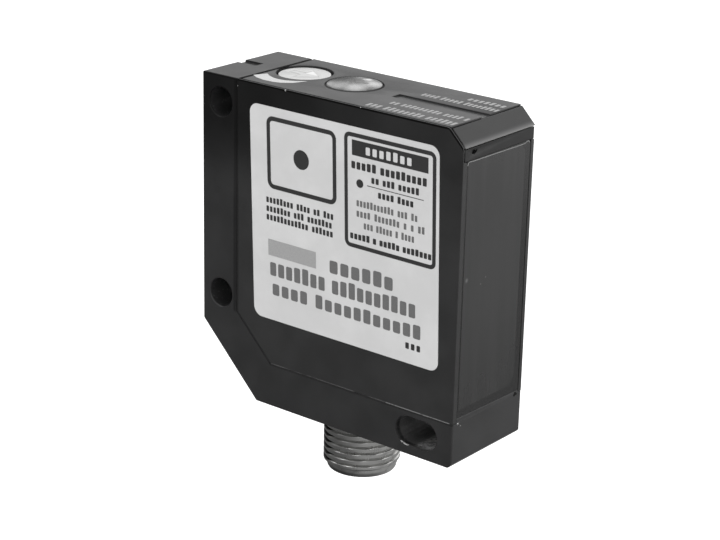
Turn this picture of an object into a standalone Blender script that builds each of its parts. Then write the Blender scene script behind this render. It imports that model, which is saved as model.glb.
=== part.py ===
"""Optical distance sensor in a slim die-cast housing, with an M12 plug connector under it.

The pieces are laid out in the housing's own coordinates, in metres: X runs from the back face to the
front face, Y is zero half way between the two sides, and Z runs from the bottom face to the top face.
The label is on the -Y side and the window faces +X. The empty housing_corner shifts them all, so that
the world's origin lies on the far side face, half way between the two screw holes.
"""

import math

import bmesh
import bpy
from mathutils import Matrix, Vector

MM = 0.001

# Housing
LENGTH = 48.0 * MM            # back face to front face
THICKNESS = 17.0 * MM         # side to side
HEIGHT = 50.0 * MM            # bottom face to top face, without the connector
BAND = 7.0 * MM               # width of the frame, seen from the side
HEEL = 10.9 * MM              # leg of the 45 degree cut at the bottom rear corner
NOSE = 2.5 * MM               # leg of the 45 degree cut at the top front edge
GAP = 0.3 * MM                # between two pieces that meet
SIDE_WALL = 0.75 * MM         # side plates
TOP_WALL = 1.6 * MM           # top cover
LEDGE = 1.2 * MM              # step of the frame that carries the side plates
EDGE_ROUND = 0.2 * MM         # the frame's outer edges
TOE_ROUND = 1.1 * MM          # the frame's bottom front corner
PLATE_ROUND = 1.2 * MM        # the side plates' corners at the nose
PLATE_EDGE = 0.12 * MM        # broken edges of thin pieces

# Screw holes and slot through the frame
HOLE_DIAMETER = 4.5 * MM
HOLE_INSET = 3.65 * MM        # hole axes from the back face
HOLE_DROP = 4.1 * MM          # upper hole from the top face
HOLE_RISE = 5.0 * MM          # lower hole above the heel's corner
HOLE_CHAMFER = 0.1 * MM
SLOT_LENGTH = 7.5 * MM
SLOT_WIDTH = 4.5 * MM
SLOT_INSET = 6.4 * MM         # slot's middle from the front face
SLOT_RISE = 3.75 * MM         # slot's middle above the bottom face

# Sight grooves in the top
SIGHT_WIDTH = 1.9 * MM
SIGHT_DEPTH = 0.35 * MM
SIGHT_BACK_LENGTH = 3.7 * MM
SIGHT_FRONT_LENGTH = 15.7 * MM

# Label
LABEL_BACK_MARGIN = 2.85 * MM
LABEL_FRONT_MARGIN = 3.4 * MM
LABEL_TOP_MARGIN = 2.75 * MM
LABEL_BOTTOM_MARGIN = 6.65 * MM
LABEL_ROUND = 1.5 * MM
LABEL_THICKNESS = 0.15 * MM
LABEL_POCKET = 0.35 * MM      # depth of its pocket in the side plate
LABEL_FIT = 0.1 * MM          # round its edge

# Front
BEZEL_LIP = 0.15 * MM         # upright edge under the bezel's slope
BEZEL_TONGUE = 2.0 * MM       # reach under the top cover
CARRIER_DEPTH = 3.4 * MM
CARRIER_WALL = 1.2 * MM       # ledge behind the pane
STRIP_HEIGHT = 1.5 * MM       # surround above the pane
PANE_THICKNESS = 1.2 * MM
PANE_ROUND = 0.6 * MM
GASKET_THICKNESS = 0.4 * MM
APERTURE_MARGIN = 1.3 * MM    # ledge round the opening behind the pane
APERTURE_ROUND = 2.0 * MM

# Boards and screws
BOARD = 1.0 * MM
SCREW_HEAD = 0.8 * MM
SCREW_HEAD_RADIUS = 1.8 * MM
SCREW_RADIUS = 1.0 * MM
SCREW_DEPTH = 4.0 * MM        # in the chassis
DRIVE_WIDTH = 0.5 * MM
DRIVE_DEPTH = 0.4 * MM
FAR_ROOM = 0.5 * MM           # between the chassis and the far side plate

# Adjuster
DIAL_RADIUS = 3.95 * MM
DIAL_THICKNESS = 1.15 * MM
DIAL_RECESS = 0.2 * MM        # below the top face
DIAL_WALL = 0.3 * MM          # top cover between the dial's hole and the frame
ARROW_LENGTH = 5.4 * MM
ARROW_WIDTH = 3.4 * MM
ARROW_SHAFT = 1.3 * MM
ARROW_DEPTH = 0.6 * MM
HUB_RADIUS = 1.6 * MM
HUB_LENGTH = 2.4 * MM
SPINDLE_RADIUS = 0.9 * MM
SPINDLE_FLAT = 0.3 * MM
SPINDLE_GRIP = 1.7 * MM       # length inside the hub
WIPER_RADIUS = 2.3 * MM
WIPER_THICKNESS = 0.8 * MM
POT_RADIUS = 3.0 * MM
POT_HEIGHT = 2.6 * MM
SEAL_SECTION = 0.7 * MM       # O-ring round the hub
BOSS_DEPTH = 1.8 * MM         # top cover's boss round the hub
BOSS_RIM = 0.15 * MM          # boss beyond the dial's hole

# Indicator
LENS_RADIUS = 4.1 * MM
LENS_RISE = 0.35 * MM         # dome above the top face
LENS_FLANGE = 0.7 * MM        # flange beyond the lens
LENS_FLANGE_THICKNESS = 0.9 * MM
STEM_RADIUS = 2.2 * MM
LIGHT_WIDTH = 3.2 * MM
LIGHT_HEIGHT = 1.9 * MM

# Connector
CONNECTOR_X = 25.1 * MM
CONNECTOR_REACH = 9.05 * MM   # below the bottom face
THREAD_RADIUS = 5.9 * MM
THREAD_DEPTH = 0.6 * MM       # down to the unthreaded ring at the end
TIP_LENGTH = 0.9 * MM
TIP_CHAMFER = 0.5 * MM
BODY_SHOULDER = 0.6 * MM      # body in the frame's bore, beyond the thread
BODY_START = 0.6 * MM         # shoulder above the bottom face
RING_SECTION = 1.0 * MM       # O-ring round the body
RING_RISE = 3.2 * MM
SHELL_WALL = 0.5 * MM         # between the O-ring's groove and the insert's bore
SEAT_STEP = 0.5 * MM          # that the insert rests on, at the socket's end
SOCKET_DEPTH = 8.4 * MM
FLANGE_RIM = 1.5 * MM         # flange beyond the body
FLANGE_THICKNESS = 1.3 * MM
KEY_WIDTH = 1.2 * MM
KEY_HEIGHT = 0.8 * MM
KEY_SETBACK = 1.6 * MM        # key and pins end short of the shell's rim
INSERT_NOSE = 1.0 * MM
PIN_RADIUS = 0.5 * MM
PIN_INSET = 1.4 * MM          # pin axes from the insert's edge
PIN_COUNT = 4
PIN_TAIL = 0.6 * MM           # beyond the connector board

# Optics
OPTICS_WALL = 1.2 * MM        # chassis beside the receiver's bore
EMITTER_WALL = 5.0 * MM       # chassis above the emitter's bore
RECEIVER_FLOOR = 2.0 * MM     # chassis under the receiver's bore
BARREL_RADIUS = 3.6 * MM
BARREL_BORE = 2.2 * MM
BARREL_SETBACK = 0.4 * MM     # behind the chassis's front
OPTIC_RADIUS = 2.7 * MM       # collimator and diode flange
OPTIC_SEAT = 2.0 * MM         # counterbores in the barrel
OPTIC_THICKNESS = 1.4 * MM
CAN_RADIUS = 1.8 * MM
CAN_LENGTH = 2.4 * MM
LEAD_RADIUS = 0.25 * MM
LEAD_ROOM = 1.6 * MM          # between the barrel and the chassis's back
LEAD_CIRCLE = 1.27 * MM
SHOULDER = 0.8 * MM           # step that the receiver lens seats on
RECEIVER_LENS = 2.0 * MM      # its thickness
RECEIVER_CROWN = 0.5 * MM     # height of each lens face
LENS_RING = 0.7 * MM
DETECTOR_SIZE = (1.2 * MM, 4.4 * MM, 3.2 * MM)

# Parts on the main board
PROCESSOR_SIDE = 9.0 * MM
PROCESSOR_PLACE = (5.2 * MM, 8.6 * MM)       # from the board's back edge, under the display board
AMPLIFIER_SIZE = (5.0 * MM, 6.2 * MM)
AMPLIFIER_PLACE = (13.2 * MM, 7.1 * MM)
CHIP_HEIGHT = 1.3 * MM
CAPACITOR_RADIUS = 2.0 * MM
CAPACITOR_HEIGHT = 5.4 * MM
CAPACITOR_RISE = 3.8 * MM     # above the ends of the connector's pins
CAPACITOR_PITCH = 5.0 * MM
CAPACITOR_PLACE = 8.0 * MM    # from the board's back edge

# Fineness
STEPS = 48                    # round parts that show
FEW_STEPS = 24                # small and hidden round parts
ARC_STEPS = 6                 # each rounded corner
NEAR_HALF = 0.4999            # of a slot's width, so that its round ends keep a flat between them
OVER = 1.0 * MM               # how far a cutter runs past what it cuts

# Levels and places that follow from the sizes above
HALF = THICKNESS / 2
PLATE_Y = HALF - SIDE_WALL                   # inner face of the side plates
INSIDE_Y = PLATE_Y - GAP                     # edge of what lies between them
FRAME_EDGE = BAND - GAP / 2
PLATE_EDGE_X = BAND + GAP / 2
LEDGE_EDGE = FRAME_EDGE + LEDGE
TOP_UNDER = HEIGHT - TOP_WALL
NOSE_X = LENGTH - NOSE
LEDGE_TOP = TOP_UNDER - BOSS_DEPTH - GAP     # clears the top cover's boss
BEZEL_Z = HEIGHT - NOSE - BEZEL_LIP
CARRIER_X = LENGTH - CARRIER_DEPTH
CARRIER_TOP = BEZEL_Z - GAP
PANE_TOP = CARRIER_TOP - STRIP_HEIGHT - GAP
PANE_X = LENGTH - PANE_THICKNESS
BOARD_LOW_Y = -PLATE_Y + GAP + SCREW_HEAD + GAP
BOARD_HIGH_Y = BOARD_LOW_Y + BOARD
INNER_LOW_Y = BOARD_HIGH_Y + GAP
INNER_HIGH_Y = PLATE_Y - FAR_ROOM
AXIS_Y = (INNER_LOW_Y + INNER_HIGH_Y) / 2    # adjuster, indicator and optics
INNER_HALF = (INNER_HIGH_Y - INNER_LOW_Y) / 2
DIAL_HOLE = DIAL_RADIUS + GAP
DIAL_X = PLATE_EDGE_X + DIAL_WALL + DIAL_HOLE
DIAL_TOP = HEIGHT - DIAL_RECESS
BOSS_RADIUS = DIAL_HOLE + BOSS_RIM
FLANGE_OF_LENS = LENS_RADIUS + LENS_FLANGE
LIGHT_X = DIAL_X + BOSS_RADIUS + GAP + FLANGE_OF_LENS
SEAL_BORE = HUB_RADIUS + GAP + SEAL_SECTION + GAP
HUB_END = DIAL_TOP - DIAL_THICKNESS - HUB_LENGTH
WIPER_TOP = HUB_END - GAP
WIPER_LOW = WIPER_TOP - WIPER_THICKNESS
POT_TOP = WIPER_LOW - GAP
POT_LOW = POT_TOP - POT_HEIGHT
SHELF_TOP = POT_LOW - GAP
SHELF_LOW = SHELF_TOP - BOARD
OPTICS_BOARD_X = LIGHT_X + FLANGE_OF_LENS + GAP
CHASSIS_BACK = OPTICS_BOARD_X + BOARD + GAP
CHASSIS_FRONT = CARRIER_X - GAP
FLOOR_Z = LEDGE_EDGE + GAP                   # what rests on the frame's ledge
TIP_RADIUS = THREAD_RADIUS - THREAD_DEPTH
BODY_RADIUS = THREAD_RADIUS + BODY_SHOULDER
FLANGE_RADIUS = BODY_RADIUS + FLANGE_RIM
GROOVE_RADIUS = BODY_RADIUS - RING_SECTION - GAP
SEAT_RADIUS = GROOVE_RADIUS - SHELL_WALL
SOCKET_RADIUS = SEAT_RADIUS - SEAT_STEP
NOSE_RADIUS = SOCKET_RADIUS - GAP
PIN_CIRCLE = NOSE_RADIUS - PIN_INSET         # radius
SHELL_TOP = FLOOR_Z + FLANGE_THICKNESS
CONNECTOR_BOARD_Z = SHELL_TOP + GAP
PIN_TOP = CONNECTOR_BOARD_Z + BOARD + PIN_TAIL
CHASSIS_LOW = PIN_TOP + GAP
FOOT_BACK = CONNECTOR_X + FLANGE_RADIUS + GAP
RECEIVER_BORE = INNER_HALF - OPTICS_WALL
RECEIVER_Z = CHASSIS_LOW + RECEIVER_FLOOR + RECEIVER_BORE
EMITTER_BORE = BARREL_RADIUS + GAP
EMITTER_Z = CARRIER_TOP - EMITTER_WALL - EMITTER_BORE
BARREL_FRONT = CHASSIS_FRONT - BARREL_SETBACK
BARREL_BACK = CHASSIS_BACK + LEAD_ROOM
HOLE_TOP_Z = HEIGHT - HOLE_DROP
HOLE_LOW_Z = HEEL + HOLE_RISE
ORIGIN = Vector((HOLE_INSET, HALF, (HOLE_TOP_Z + HOLE_LOW_Z) / 2))

# Turns that lay a flat outline across X, Y or Z, and a turned shape's own axis along them
ALONG = {
    "X": Matrix(((0, 0, 1), (1, 0, 0), (0, 1, 0))),
    "Y": Matrix(((1, 0, 0), (0, 0, -1), (0, 1, 0))),
    "Z": Matrix.Identity(3),
}
UNIT = {"X": Vector((1, 0, 0)), "Y": Vector((0, 1, 0)), "Z": Vector((0, 0, 1))}
SIDE_WAYS = {"X": (0, math.pi / 2, 0), "Y": (-math.pi / 2, 0, 0), "Z": (0, 0, 0)}


def start_scene():
    """Removes what the scene holds and makes the two collections and the carrier empty."""
    for old in list(bpy.data.objects):
        bpy.data.objects.remove(old)
    scene = bpy.context.scene.collection
    parts = bpy.data.collections.new("optical_sensor")
    tools = bpy.data.collections.new("cutters")
    scene.children.link(parts)
    scene.children.link(tools)
    corner = bpy.data.objects.new("housing_corner", None)
    corner.location = -ORIGIN
    parts.objects.link(corner)
    return parts, tools, corner


PARTS, TOOLS, CORNER = start_scene()


def material(name, colour, roughness, metallic=0.0, alpha=1.0):
    """Principled material of one colour."""
    made = bpy.data.materials.new(name)
    made.use_nodes = True
    shader = made.node_tree.nodes["Principled BSDF"]
    shader.inputs["Base Color"].default_value = (*colour, 1.0)
    shader.inputs["Roughness"].default_value = roughness
    shader.inputs["Metallic"].default_value = metallic
    shader.inputs["Alpha"].default_value = alpha
    return made


CAST = material("black_cast_metal", (0.022, 0.022, 0.023), 0.45, 0.0)
PLATE = material("black_plate", (0.024, 0.024, 0.025), 0.5, 0.0)
BLACK = material("black_plastic", (0.02, 0.02, 0.02), 0.55)
PANE = material("dark_filter", (0.03, 0.012, 0.012), 0.08)
CLEAR = material("clear_plastic", (0.7, 0.7, 0.7), 0.1, 0.0, 0.5)
GLASS = material("lens_glass", (0.75, 0.8, 0.8), 0.03, 0.0, 0.4)
STICKER = material("label_film", (0.64, 0.64, 0.64), 0.45)
PALE = material("pale_plastic", (0.66, 0.66, 0.64), 0.4)
STEEL = material("plated_steel", (0.45, 0.45, 0.46), 0.35, 1.0)
NICKEL = material("nickel_plated_brass", (0.5, 0.49, 0.47), 0.35, 1.0)
ALLOY = material("turned_aluminium", (0.6, 0.6, 0.61), 0.3, 1.0)
GOLD = material("gold_plated_contact", (0.8, 0.6, 0.25), 0.25, 1.0)
RUBBER = material("seal_rubber", (0.03, 0.03, 0.03), 0.8)
LAMINATE = material("circuit_board", (0.02, 0.14, 0.06), 0.5)
CHIP = material("chip_epoxy", (0.03, 0.03, 0.035), 0.5)


def rounded(corners):
    """Outline through (u, v, radius) corners, each with a radius turned into an arc."""
    points = []
    for index, (u, v, radius) in enumerate(corners):
        here = Vector((u, v))
        if radius <= 0:
            points.append(here)
            continue
        before = (Vector(corners[index - 1][:2]) - here).normalized()
        after = (Vector(corners[(index + 1) % len(corners)][:2]) - here).normalized()
        half = before.angle(after) / 2
        centre = here + (before + after).normalized() * radius / math.sin(half)
        first = here + before * radius / math.tan(half) - centre
        last = here + after * radius / math.tan(half) - centre
        start = math.atan2(first.y, first.x)
        sweep = (math.atan2(last.y, last.x) - start + math.pi) % (2 * math.pi) - math.pi
        for step in range(ARC_STEPS + 1):
            angle = start + sweep * step / ARC_STEPS
            points.append(centre + radius * Vector((math.cos(angle), math.sin(angle))))
    return points


def rectangle(low_u, high_u, low_v, high_v, radius=0.0):
    """Rectangle with four corners of one radius."""
    return rounded([(low_u, low_v, radius), (high_u, low_v, radius),
                    (high_u, high_v, radius), (low_u, high_v, radius)])


def place(name, data, finish, at=(0, 0, 0), turn=(0, 0, 0)):
    """Puts a mesh in the scene as a part, or as a cutter where it has no finish."""
    made = bpy.data.objects.new(name, data)
    made.parent = CORNER
    made.location = at
    made.rotation_euler = turn
    if finish is None:
        TOOLS.objects.link(made)
        made.hide_render = True
        made.display_type = "WIRE"
    else:
        PARTS.objects.link(made)
        data.materials.append(finish)
        data.shade_smooth()
        data.set_sharp_from_angle(angle=math.radians(30))
    return made


def prism(name, outline, axis, low, high, finish=None):
    """Flat outline extruded from low to high along an axis."""
    curve = bpy.data.curves.new(name, "CURVE")
    curve.dimensions = "2D"
    curve.fill_mode = "BOTH"
    curve.extrude = (high - low) / 2
    spline = curve.splines.new("POLY")
    spline.points.add(len(outline) - 1)
    for point, (u, v) in zip(spline.points, outline):
        point.co = (u, v, 0, 1)
    spline.use_cyclic_u = True
    drawn = bpy.data.objects.new(name, curve)
    TOOLS.objects.link(drawn)
    shape = bpy.data.meshes.new_from_object(drawn.evaluated_get(bpy.context.evaluated_depsgraph_get()))
    middle = UNIT[axis] * (low + high) / 2
    shape.transform(Matrix.Translation(middle) @ ALONG[axis].to_4x4())
    bpy.data.objects.remove(drawn)
    welded = bmesh.new()
    welded.from_mesh(shape)
    bmesh.ops.remove_doubles(welded, verts=welded.verts, dist=0.000001)
    bmesh.ops.dissolve_limit(welded, angle_limit=0.0001, verts=welded.verts, edges=welded.edges)
    bmesh.ops.recalc_face_normals(welded, faces=welded.faces)
    welded.to_mesh(shape)
    welded.free()
    return place(name, shape, finish)


def box(name, low, high, finish=None):
    """Box between two opposite corners."""
    shape = bmesh.new()
    bmesh.ops.create_cube(shape, size=1.0)
    low, high = Vector(low), Vector(high)
    bmesh.ops.scale(shape, vec=high - low, verts=shape.verts)
    data = bpy.data.meshes.new(name)
    shape.to_mesh(data)
    shape.free()
    return place(name, data, finish, at=(low + high) / 2)


def cylinder(name, radius, base, length, axis, finish=None, steps=FEW_STEPS):
    """Cylinder that starts at base and runs along an axis."""
    shape = bmesh.new()
    bmesh.ops.create_cone(shape, cap_ends=True, segments=steps,
                          radius1=radius, radius2=radius, depth=length)
    bmesh.ops.translate(shape, vec=(0, 0, length / 2), verts=shape.verts)
    data = bpy.data.meshes.new(name)
    shape.to_mesh(data)
    shape.free()
    return place(name, data, finish, at=base, turn=SIDE_WAYS[axis])


def turned(name, profile, base, axis, finish=None, closed=False, steps=FEW_STEPS):
    """Profile of (radius, height) points, from its top down the outer side, turned about an axis."""
    data = bpy.data.meshes.new(name)
    edges = [(index, index + 1) for index in range(len(profile) - 1)]
    if closed:
        edges.append((len(profile) - 1, 0))
    data.from_pydata([(radius, 0, height) for radius, height in profile], edges, [])
    made = place(name, data, finish, at=base, turn=SIDE_WAYS[axis])
    screw = made.modifiers.new("turn", "SCREW")
    screw.steps = steps
    screw.render_steps = steps
    screw.use_merge_vertices = True
    screw.merge_threshold = 0.000005
    return made


def bevel(part, width, segments=2):
    """Rounds the part's sharp edges."""
    edge = part.modifiers.new("edges", "BEVEL")
    edge.width = width
    edge.segments = segments
    edge.use_clamp_overlap = False
    edge.limit_method = "ANGLE"
    edge.angle_limit = math.radians(40)


def combine(part, tool, operation):
    """Boolean of the part with a tool. The frame's rounded edges need the manifold solver."""
    step = part.modifiers.new(tool.name, "BOOLEAN")
    step.operation = operation
    step.object = tool
    step.solver = "MANIFOLD" if part.name == "frame" else "EXACT"


def cut(part, *tools):
    """Takes each tool's volume from the part."""
    for tool in tools:
        combine(part, tool, "DIFFERENCE")


def join(part, *tools):
    """Adds each tool's volume to the part."""
    for tool in tools:
        combine(part, tool, "UNION")


def band_line(offset):
    """Three straight runs that follow the frame's outer faces at a distance inside them."""
    heel = HEEL + offset * (math.sqrt(2) - 1)
    return [(offset, heel), (heel, offset)]


def hole_cutter(name, z):
    """Screw hole right through the frame, with a broken edge at both faces."""
    radius = HOLE_DIAMETER / 2
    wide = radius + HOLE_CHAMFER + OVER
    profile = [(0, HALF + OVER), (wide, HALF + OVER), (radius, HALF - HOLE_CHAMFER),
               (radius, HOLE_CHAMFER - HALF), (wide, -HALF - OVER), (0, -HALF - OVER)]
    return turned(name, profile, (HOLE_INSET, 0, z), "Y", steps=STEPS)


def build_frame():
    """Cast band round the back, heel and bottom, with the ledge that the plates rest on."""
    inner = band_line(LEDGE_EDGE)
    outline = [(0, HEIGHT), (0, HEEL), (HEEL, 0), (LENGTH, 0), (LENGTH, LEDGE_EDGE), inner[1], inner[0],
               (LEDGE_EDGE, HEIGHT)]
    frame = prism("frame", outline, "Y", -HALF, HALF, CAST)
    bevel(frame, EDGE_ROUND)
    edge = band_line(FRAME_EDGE)
    opening = [(FRAME_EDGE, HEIGHT + OVER), edge[0], edge[1], (LENGTH + OVER, FRAME_EDGE),
               (LENGTH + OVER, HEIGHT + OVER)]
    root = band_line(BAND / 2)
    ledge = [(BAND / 2, LEDGE_TOP), root[0], root[1], (CARRIER_X - GAP, BAND / 2),
             (CARRIER_X - GAP, LEDGE_EDGE), inner[1], inner[0], (LEDGE_EDGE, LEDGE_TOP)]
    cut(frame, prism("side_opening", opening, "Y", -HALF - OVER, HALF + OVER))
    join(frame, prism("ledge", ledge, "Y", -INSIDE_Y, INSIDE_Y))
    cut(frame,
        hole_cutter("upper_hole", HOLE_TOP_Z),
        hole_cutter("lower_hole", HOLE_LOW_Z),
        slot_cutter(),
        toe_cutter(),
        cylinder("connector_bore", BODY_RADIUS + GAP, (CONNECTOR_X, 0, -OVER),
                 LEDGE_EDGE + 2 * OVER, "Z", steps=STEPS),
        box("rear_sight", (-OVER, -SIGHT_WIDTH / 2, HEIGHT - SIGHT_DEPTH),
            (SIGHT_BACK_LENGTH, SIGHT_WIDTH / 2, HEIGHT + OVER)))


def slot_cutter():
    """Oblong screw slot right through the frame."""
    middle = LENGTH - SLOT_INSET
    outline = rectangle(middle - SLOT_LENGTH / 2, middle + SLOT_LENGTH / 2,
                        SLOT_RISE - SLOT_WIDTH / 2, SLOT_RISE + SLOT_WIDTH / 2, SLOT_WIDTH * NEAR_HALF)
    return prism("screw_slot", outline, "Y", -HALF - OVER, HALF + OVER)


def toe_cutter():
    """What lies outside the frame's rounded bottom front corner."""
    outside = [(LENGTH + OVER, TOE_ROUND), (LENGTH + OVER, -OVER), (LENGTH - TOE_ROUND, -OVER)]
    for step in range(ARC_STEPS + 1):
        angle = math.pi / 2 * step / ARC_STEPS
        outside.append((LENGTH - TOE_ROUND * (1 - math.sin(angle)), TOE_ROUND * (1 - math.cos(angle))))
    return prism("toe", outside, "Y", -HALF - OVER, HALF + OVER)


def plate_outline():
    """Side plate: everything that the frame leaves open, seen from the side."""
    back = band_line(PLATE_EDGE_X)
    return rounded([(PLATE_EDGE_X, HEIGHT, 0), (*back[0], 0), (*back[1], 0), (LENGTH, PLATE_EDGE_X, 0),
                    (LENGTH, HEIGHT - NOSE, PLATE_ROUND), (NOSE_X, HEIGHT, PLATE_ROUND)])


def label_outline(grow):
    """Label's rounded rectangle, grown on every side."""
    return rectangle(PLATE_EDGE_X + LABEL_BACK_MARGIN - grow, LENGTH - LABEL_FRONT_MARGIN + grow,
                     PLATE_EDGE_X + LABEL_BOTTOM_MARGIN - grow, HEIGHT - LABEL_TOP_MARGIN + grow,
                     LABEL_ROUND + grow)


def build_sides():
    """Both side plates, and the label in the near one's pocket."""
    near = prism("cover_near", plate_outline(), "Y", -HALF, -PLATE_Y, PLATE)
    far = prism("cover_far", plate_outline(), "Y", PLATE_Y, HALF, PLATE)
    for plate in (near, far):
        bevel(plate, PLATE_EDGE, 1)
    floor = -HALF + LABEL_POCKET
    cut(near, prism("label_pocket", label_outline(LABEL_FIT), "Y", -HALF - OVER, floor))
    back = floor - GAP
    prism("label", label_outline(0), "Y", back - LABEL_THICKNESS, back, STICKER)


def build_top_cover():
    """Top wall with the dial's stepped hole, the lens hole and the front sight groove."""
    cover = prism("top_cover", rectangle(PLATE_EDGE_X, NOSE_X - GAP / 2, -INSIDE_Y, INSIDE_Y),
                  "Z", TOP_UNDER, HEIGHT, CAST)
    bevel(cover, PLATE_EDGE, 1)
    join(cover, cylinder("dial_boss", BOSS_RADIUS, (DIAL_X, AXIS_Y, TOP_UNDER - BOSS_DEPTH),
                         BOSS_DEPTH + TOP_WALL / 2, "Z", steps=STEPS))
    dial_floor = DIAL_TOP - DIAL_THICKNESS - GAP
    cut(cover,
        cylinder("dial_hole", DIAL_HOLE, (DIAL_X, AXIS_Y, dial_floor), HEIGHT, "Z", steps=STEPS),
        cylinder("hub_hole", SEAL_BORE, (DIAL_X, AXIS_Y, 0), HEIGHT, "Z", steps=STEPS),
        cylinder("lens_hole", LENS_RADIUS + GAP, (LIGHT_X, AXIS_Y, 0), HEIGHT + OVER, "Z", steps=STEPS),
        box("front_sight", (NOSE_X - SIGHT_FRONT_LENGTH, -SIGHT_WIDTH / 2, HEIGHT - SIGHT_DEPTH),
            (LENGTH, SIGHT_WIDTH / 2, HEIGHT + OVER)))


def build_front():
    """Chamfered bezel, window surround, pane and gasket."""
    bezel_top = TOP_UNDER - GAP
    slope_start = NOSE_X + GAP / 2
    bezel = prism("front_bezel", rounded([
        (slope_start, HEIGHT - GAP / 2, 0), (slope_start, bezel_top, 0),
        (slope_start - BEZEL_TONGUE, bezel_top, 0), (slope_start - BEZEL_TONGUE, BEZEL_Z, 0),
        (LENGTH, BEZEL_Z, 0), (LENGTH, HEIGHT - NOSE, 0)]), "Y", -INSIDE_Y, INSIDE_Y, CAST)
    bevel(bezel, PLATE_EDGE, 1)
    ledge = CARRIER_X + CARRIER_WALL
    strip = CARRIER_TOP - STRIP_HEIGHT
    carrier = prism("front_carrier", rounded([
        (CARRIER_X, PLATE_EDGE_X, 0), (ledge, PLATE_EDGE_X, 0), (ledge, strip, 0), (LENGTH, strip, 0),
        (LENGTH, CARRIER_TOP, 0), (CARRIER_X, CARRIER_TOP, 0)]), "Y", -INSIDE_Y, INSIDE_Y, BLACK)
    bevel(carrier, PLATE_EDGE, 1)
    opening = rectangle(-INSIDE_Y + APERTURE_MARGIN, INSIDE_Y - APERTURE_MARGIN,
                        PLATE_EDGE_X + APERTURE_MARGIN, PANE_TOP - APERTURE_MARGIN, APERTURE_ROUND)
    cut(carrier, prism("window_opening", opening, "X", CARRIER_X - OVER, ledge + OVER))
    pane = rounded([(-INSIDE_Y, PLATE_EDGE_X, 0), (INSIDE_Y, PLATE_EDGE_X, 0),
                    (INSIDE_Y, PANE_TOP, PANE_ROUND), (-INSIDE_Y, PANE_TOP, PANE_ROUND)])
    prism("front_window", pane, "X", PANE_X, LENGTH, PANE)
    gasket = prism("window_gasket", pane, "X", PANE_X - GAP - GASKET_THICKNESS, PANE_X - GAP, RUBBER)
    cut(gasket, prism("gasket_opening", opening, "X", PANE_X - OVER * 2, PANE_X + OVER))


def build_adjuster():
    """Dial and spindle that turn together, their seal and the potentiometer under them."""
    axis = (DIAL_X, AXIS_Y, DIAL_TOP)
    under = -DIAL_THICKNESS
    hub_end = under - HUB_LENGTH
    socket = SPINDLE_RADIUS + GAP
    socket_top = hub_end + SPINDLE_GRIP + GAP
    dial = turned("adjuster_dial", [
        (0, 0), (DIAL_RADIUS - PLATE_EDGE, 0), (DIAL_RADIUS, -PLATE_EDGE), (DIAL_RADIUS, under),
        (HUB_RADIUS, under), (HUB_RADIUS, hub_end), (socket, hub_end), (socket, socket_top),
        (0, socket_top)], axis, "Z", PALE, steps=STEPS)
    neck = ARROW_LENGTH / 2 - ARROW_WIDTH / 2
    arrow = [(-ARROW_LENGTH / 2, -ARROW_SHAFT / 2), (neck, -ARROW_SHAFT / 2), (neck, -ARROW_WIDTH / 2),
             (ARROW_LENGTH / 2, 0), (neck, ARROW_WIDTH / 2), (neck, ARROW_SHAFT / 2),
             (-ARROW_LENGTH / 2, ARROW_SHAFT / 2)]
    drive = [(DIAL_X + u, AXIS_Y + v) for u, v in arrow]
    cut(dial, prism("arrow_slot", drive, "Z", DIAL_TOP - ARROW_DEPTH, HEIGHT + OVER))

    grip_top = hub_end + SPINDLE_GRIP
    wiper_top = WIPER_TOP - DIAL_TOP
    wiper_low = WIPER_LOW - DIAL_TOP
    pivot_low = POT_LOW - DIAL_TOP + POT_HEIGHT / 2
    spindle = turned("adjuster_spindle", [
        (0, grip_top), (SPINDLE_RADIUS, grip_top), (SPINDLE_RADIUS, wiper_top), (WIPER_RADIUS, wiper_top),
        (WIPER_RADIUS, wiper_low), (SPINDLE_RADIUS, wiper_low), (SPINDLE_RADIUS, pivot_low),
        (0, pivot_low)], axis, "Z", ALLOY)
    flat = SPINDLE_RADIUS - SPINDLE_FLAT
    cut(spindle, box("spindle_flat", (DIAL_X + flat, AXIS_Y - SPINDLE_RADIUS, WIPER_TOP + PLATE_EDGE),
                     (DIAL_X + SPINDLE_RADIUS + OVER, AXIS_Y + SPINDLE_RADIUS, HEIGHT)))

    middle = TOP_UNDER - BOSS_DEPTH / 2
    inner = HUB_RADIUS + GAP
    ring("adjuster_seal", inner, SEAL_SECTION, (DIAL_X, AXIS_Y, middle))

    pot = cylinder("potentiometer", POT_RADIUS, (DIAL_X, AXIS_Y, POT_LOW), POT_HEIGHT, "Z", BLACK)
    cut(pot, cylinder("pivot_bore", SPINDLE_RADIUS + GAP, (DIAL_X, AXIS_Y, POT_LOW + POT_HEIGHT / 2 - GAP),
                      POT_HEIGHT, "Z"))


def ring(name, inner, section, middle):
    """O-ring about Z with a round section."""
    radius = section / 2
    count = 8
    profile = []
    for step in range(count):
        angle = math.pi / 2 - 2 * math.pi * step / count
        profile.append((inner + radius + radius * math.cos(angle), radius * math.sin(angle)))
    return turned(name, profile, middle, "Z", RUBBER, closed=True)


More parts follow.
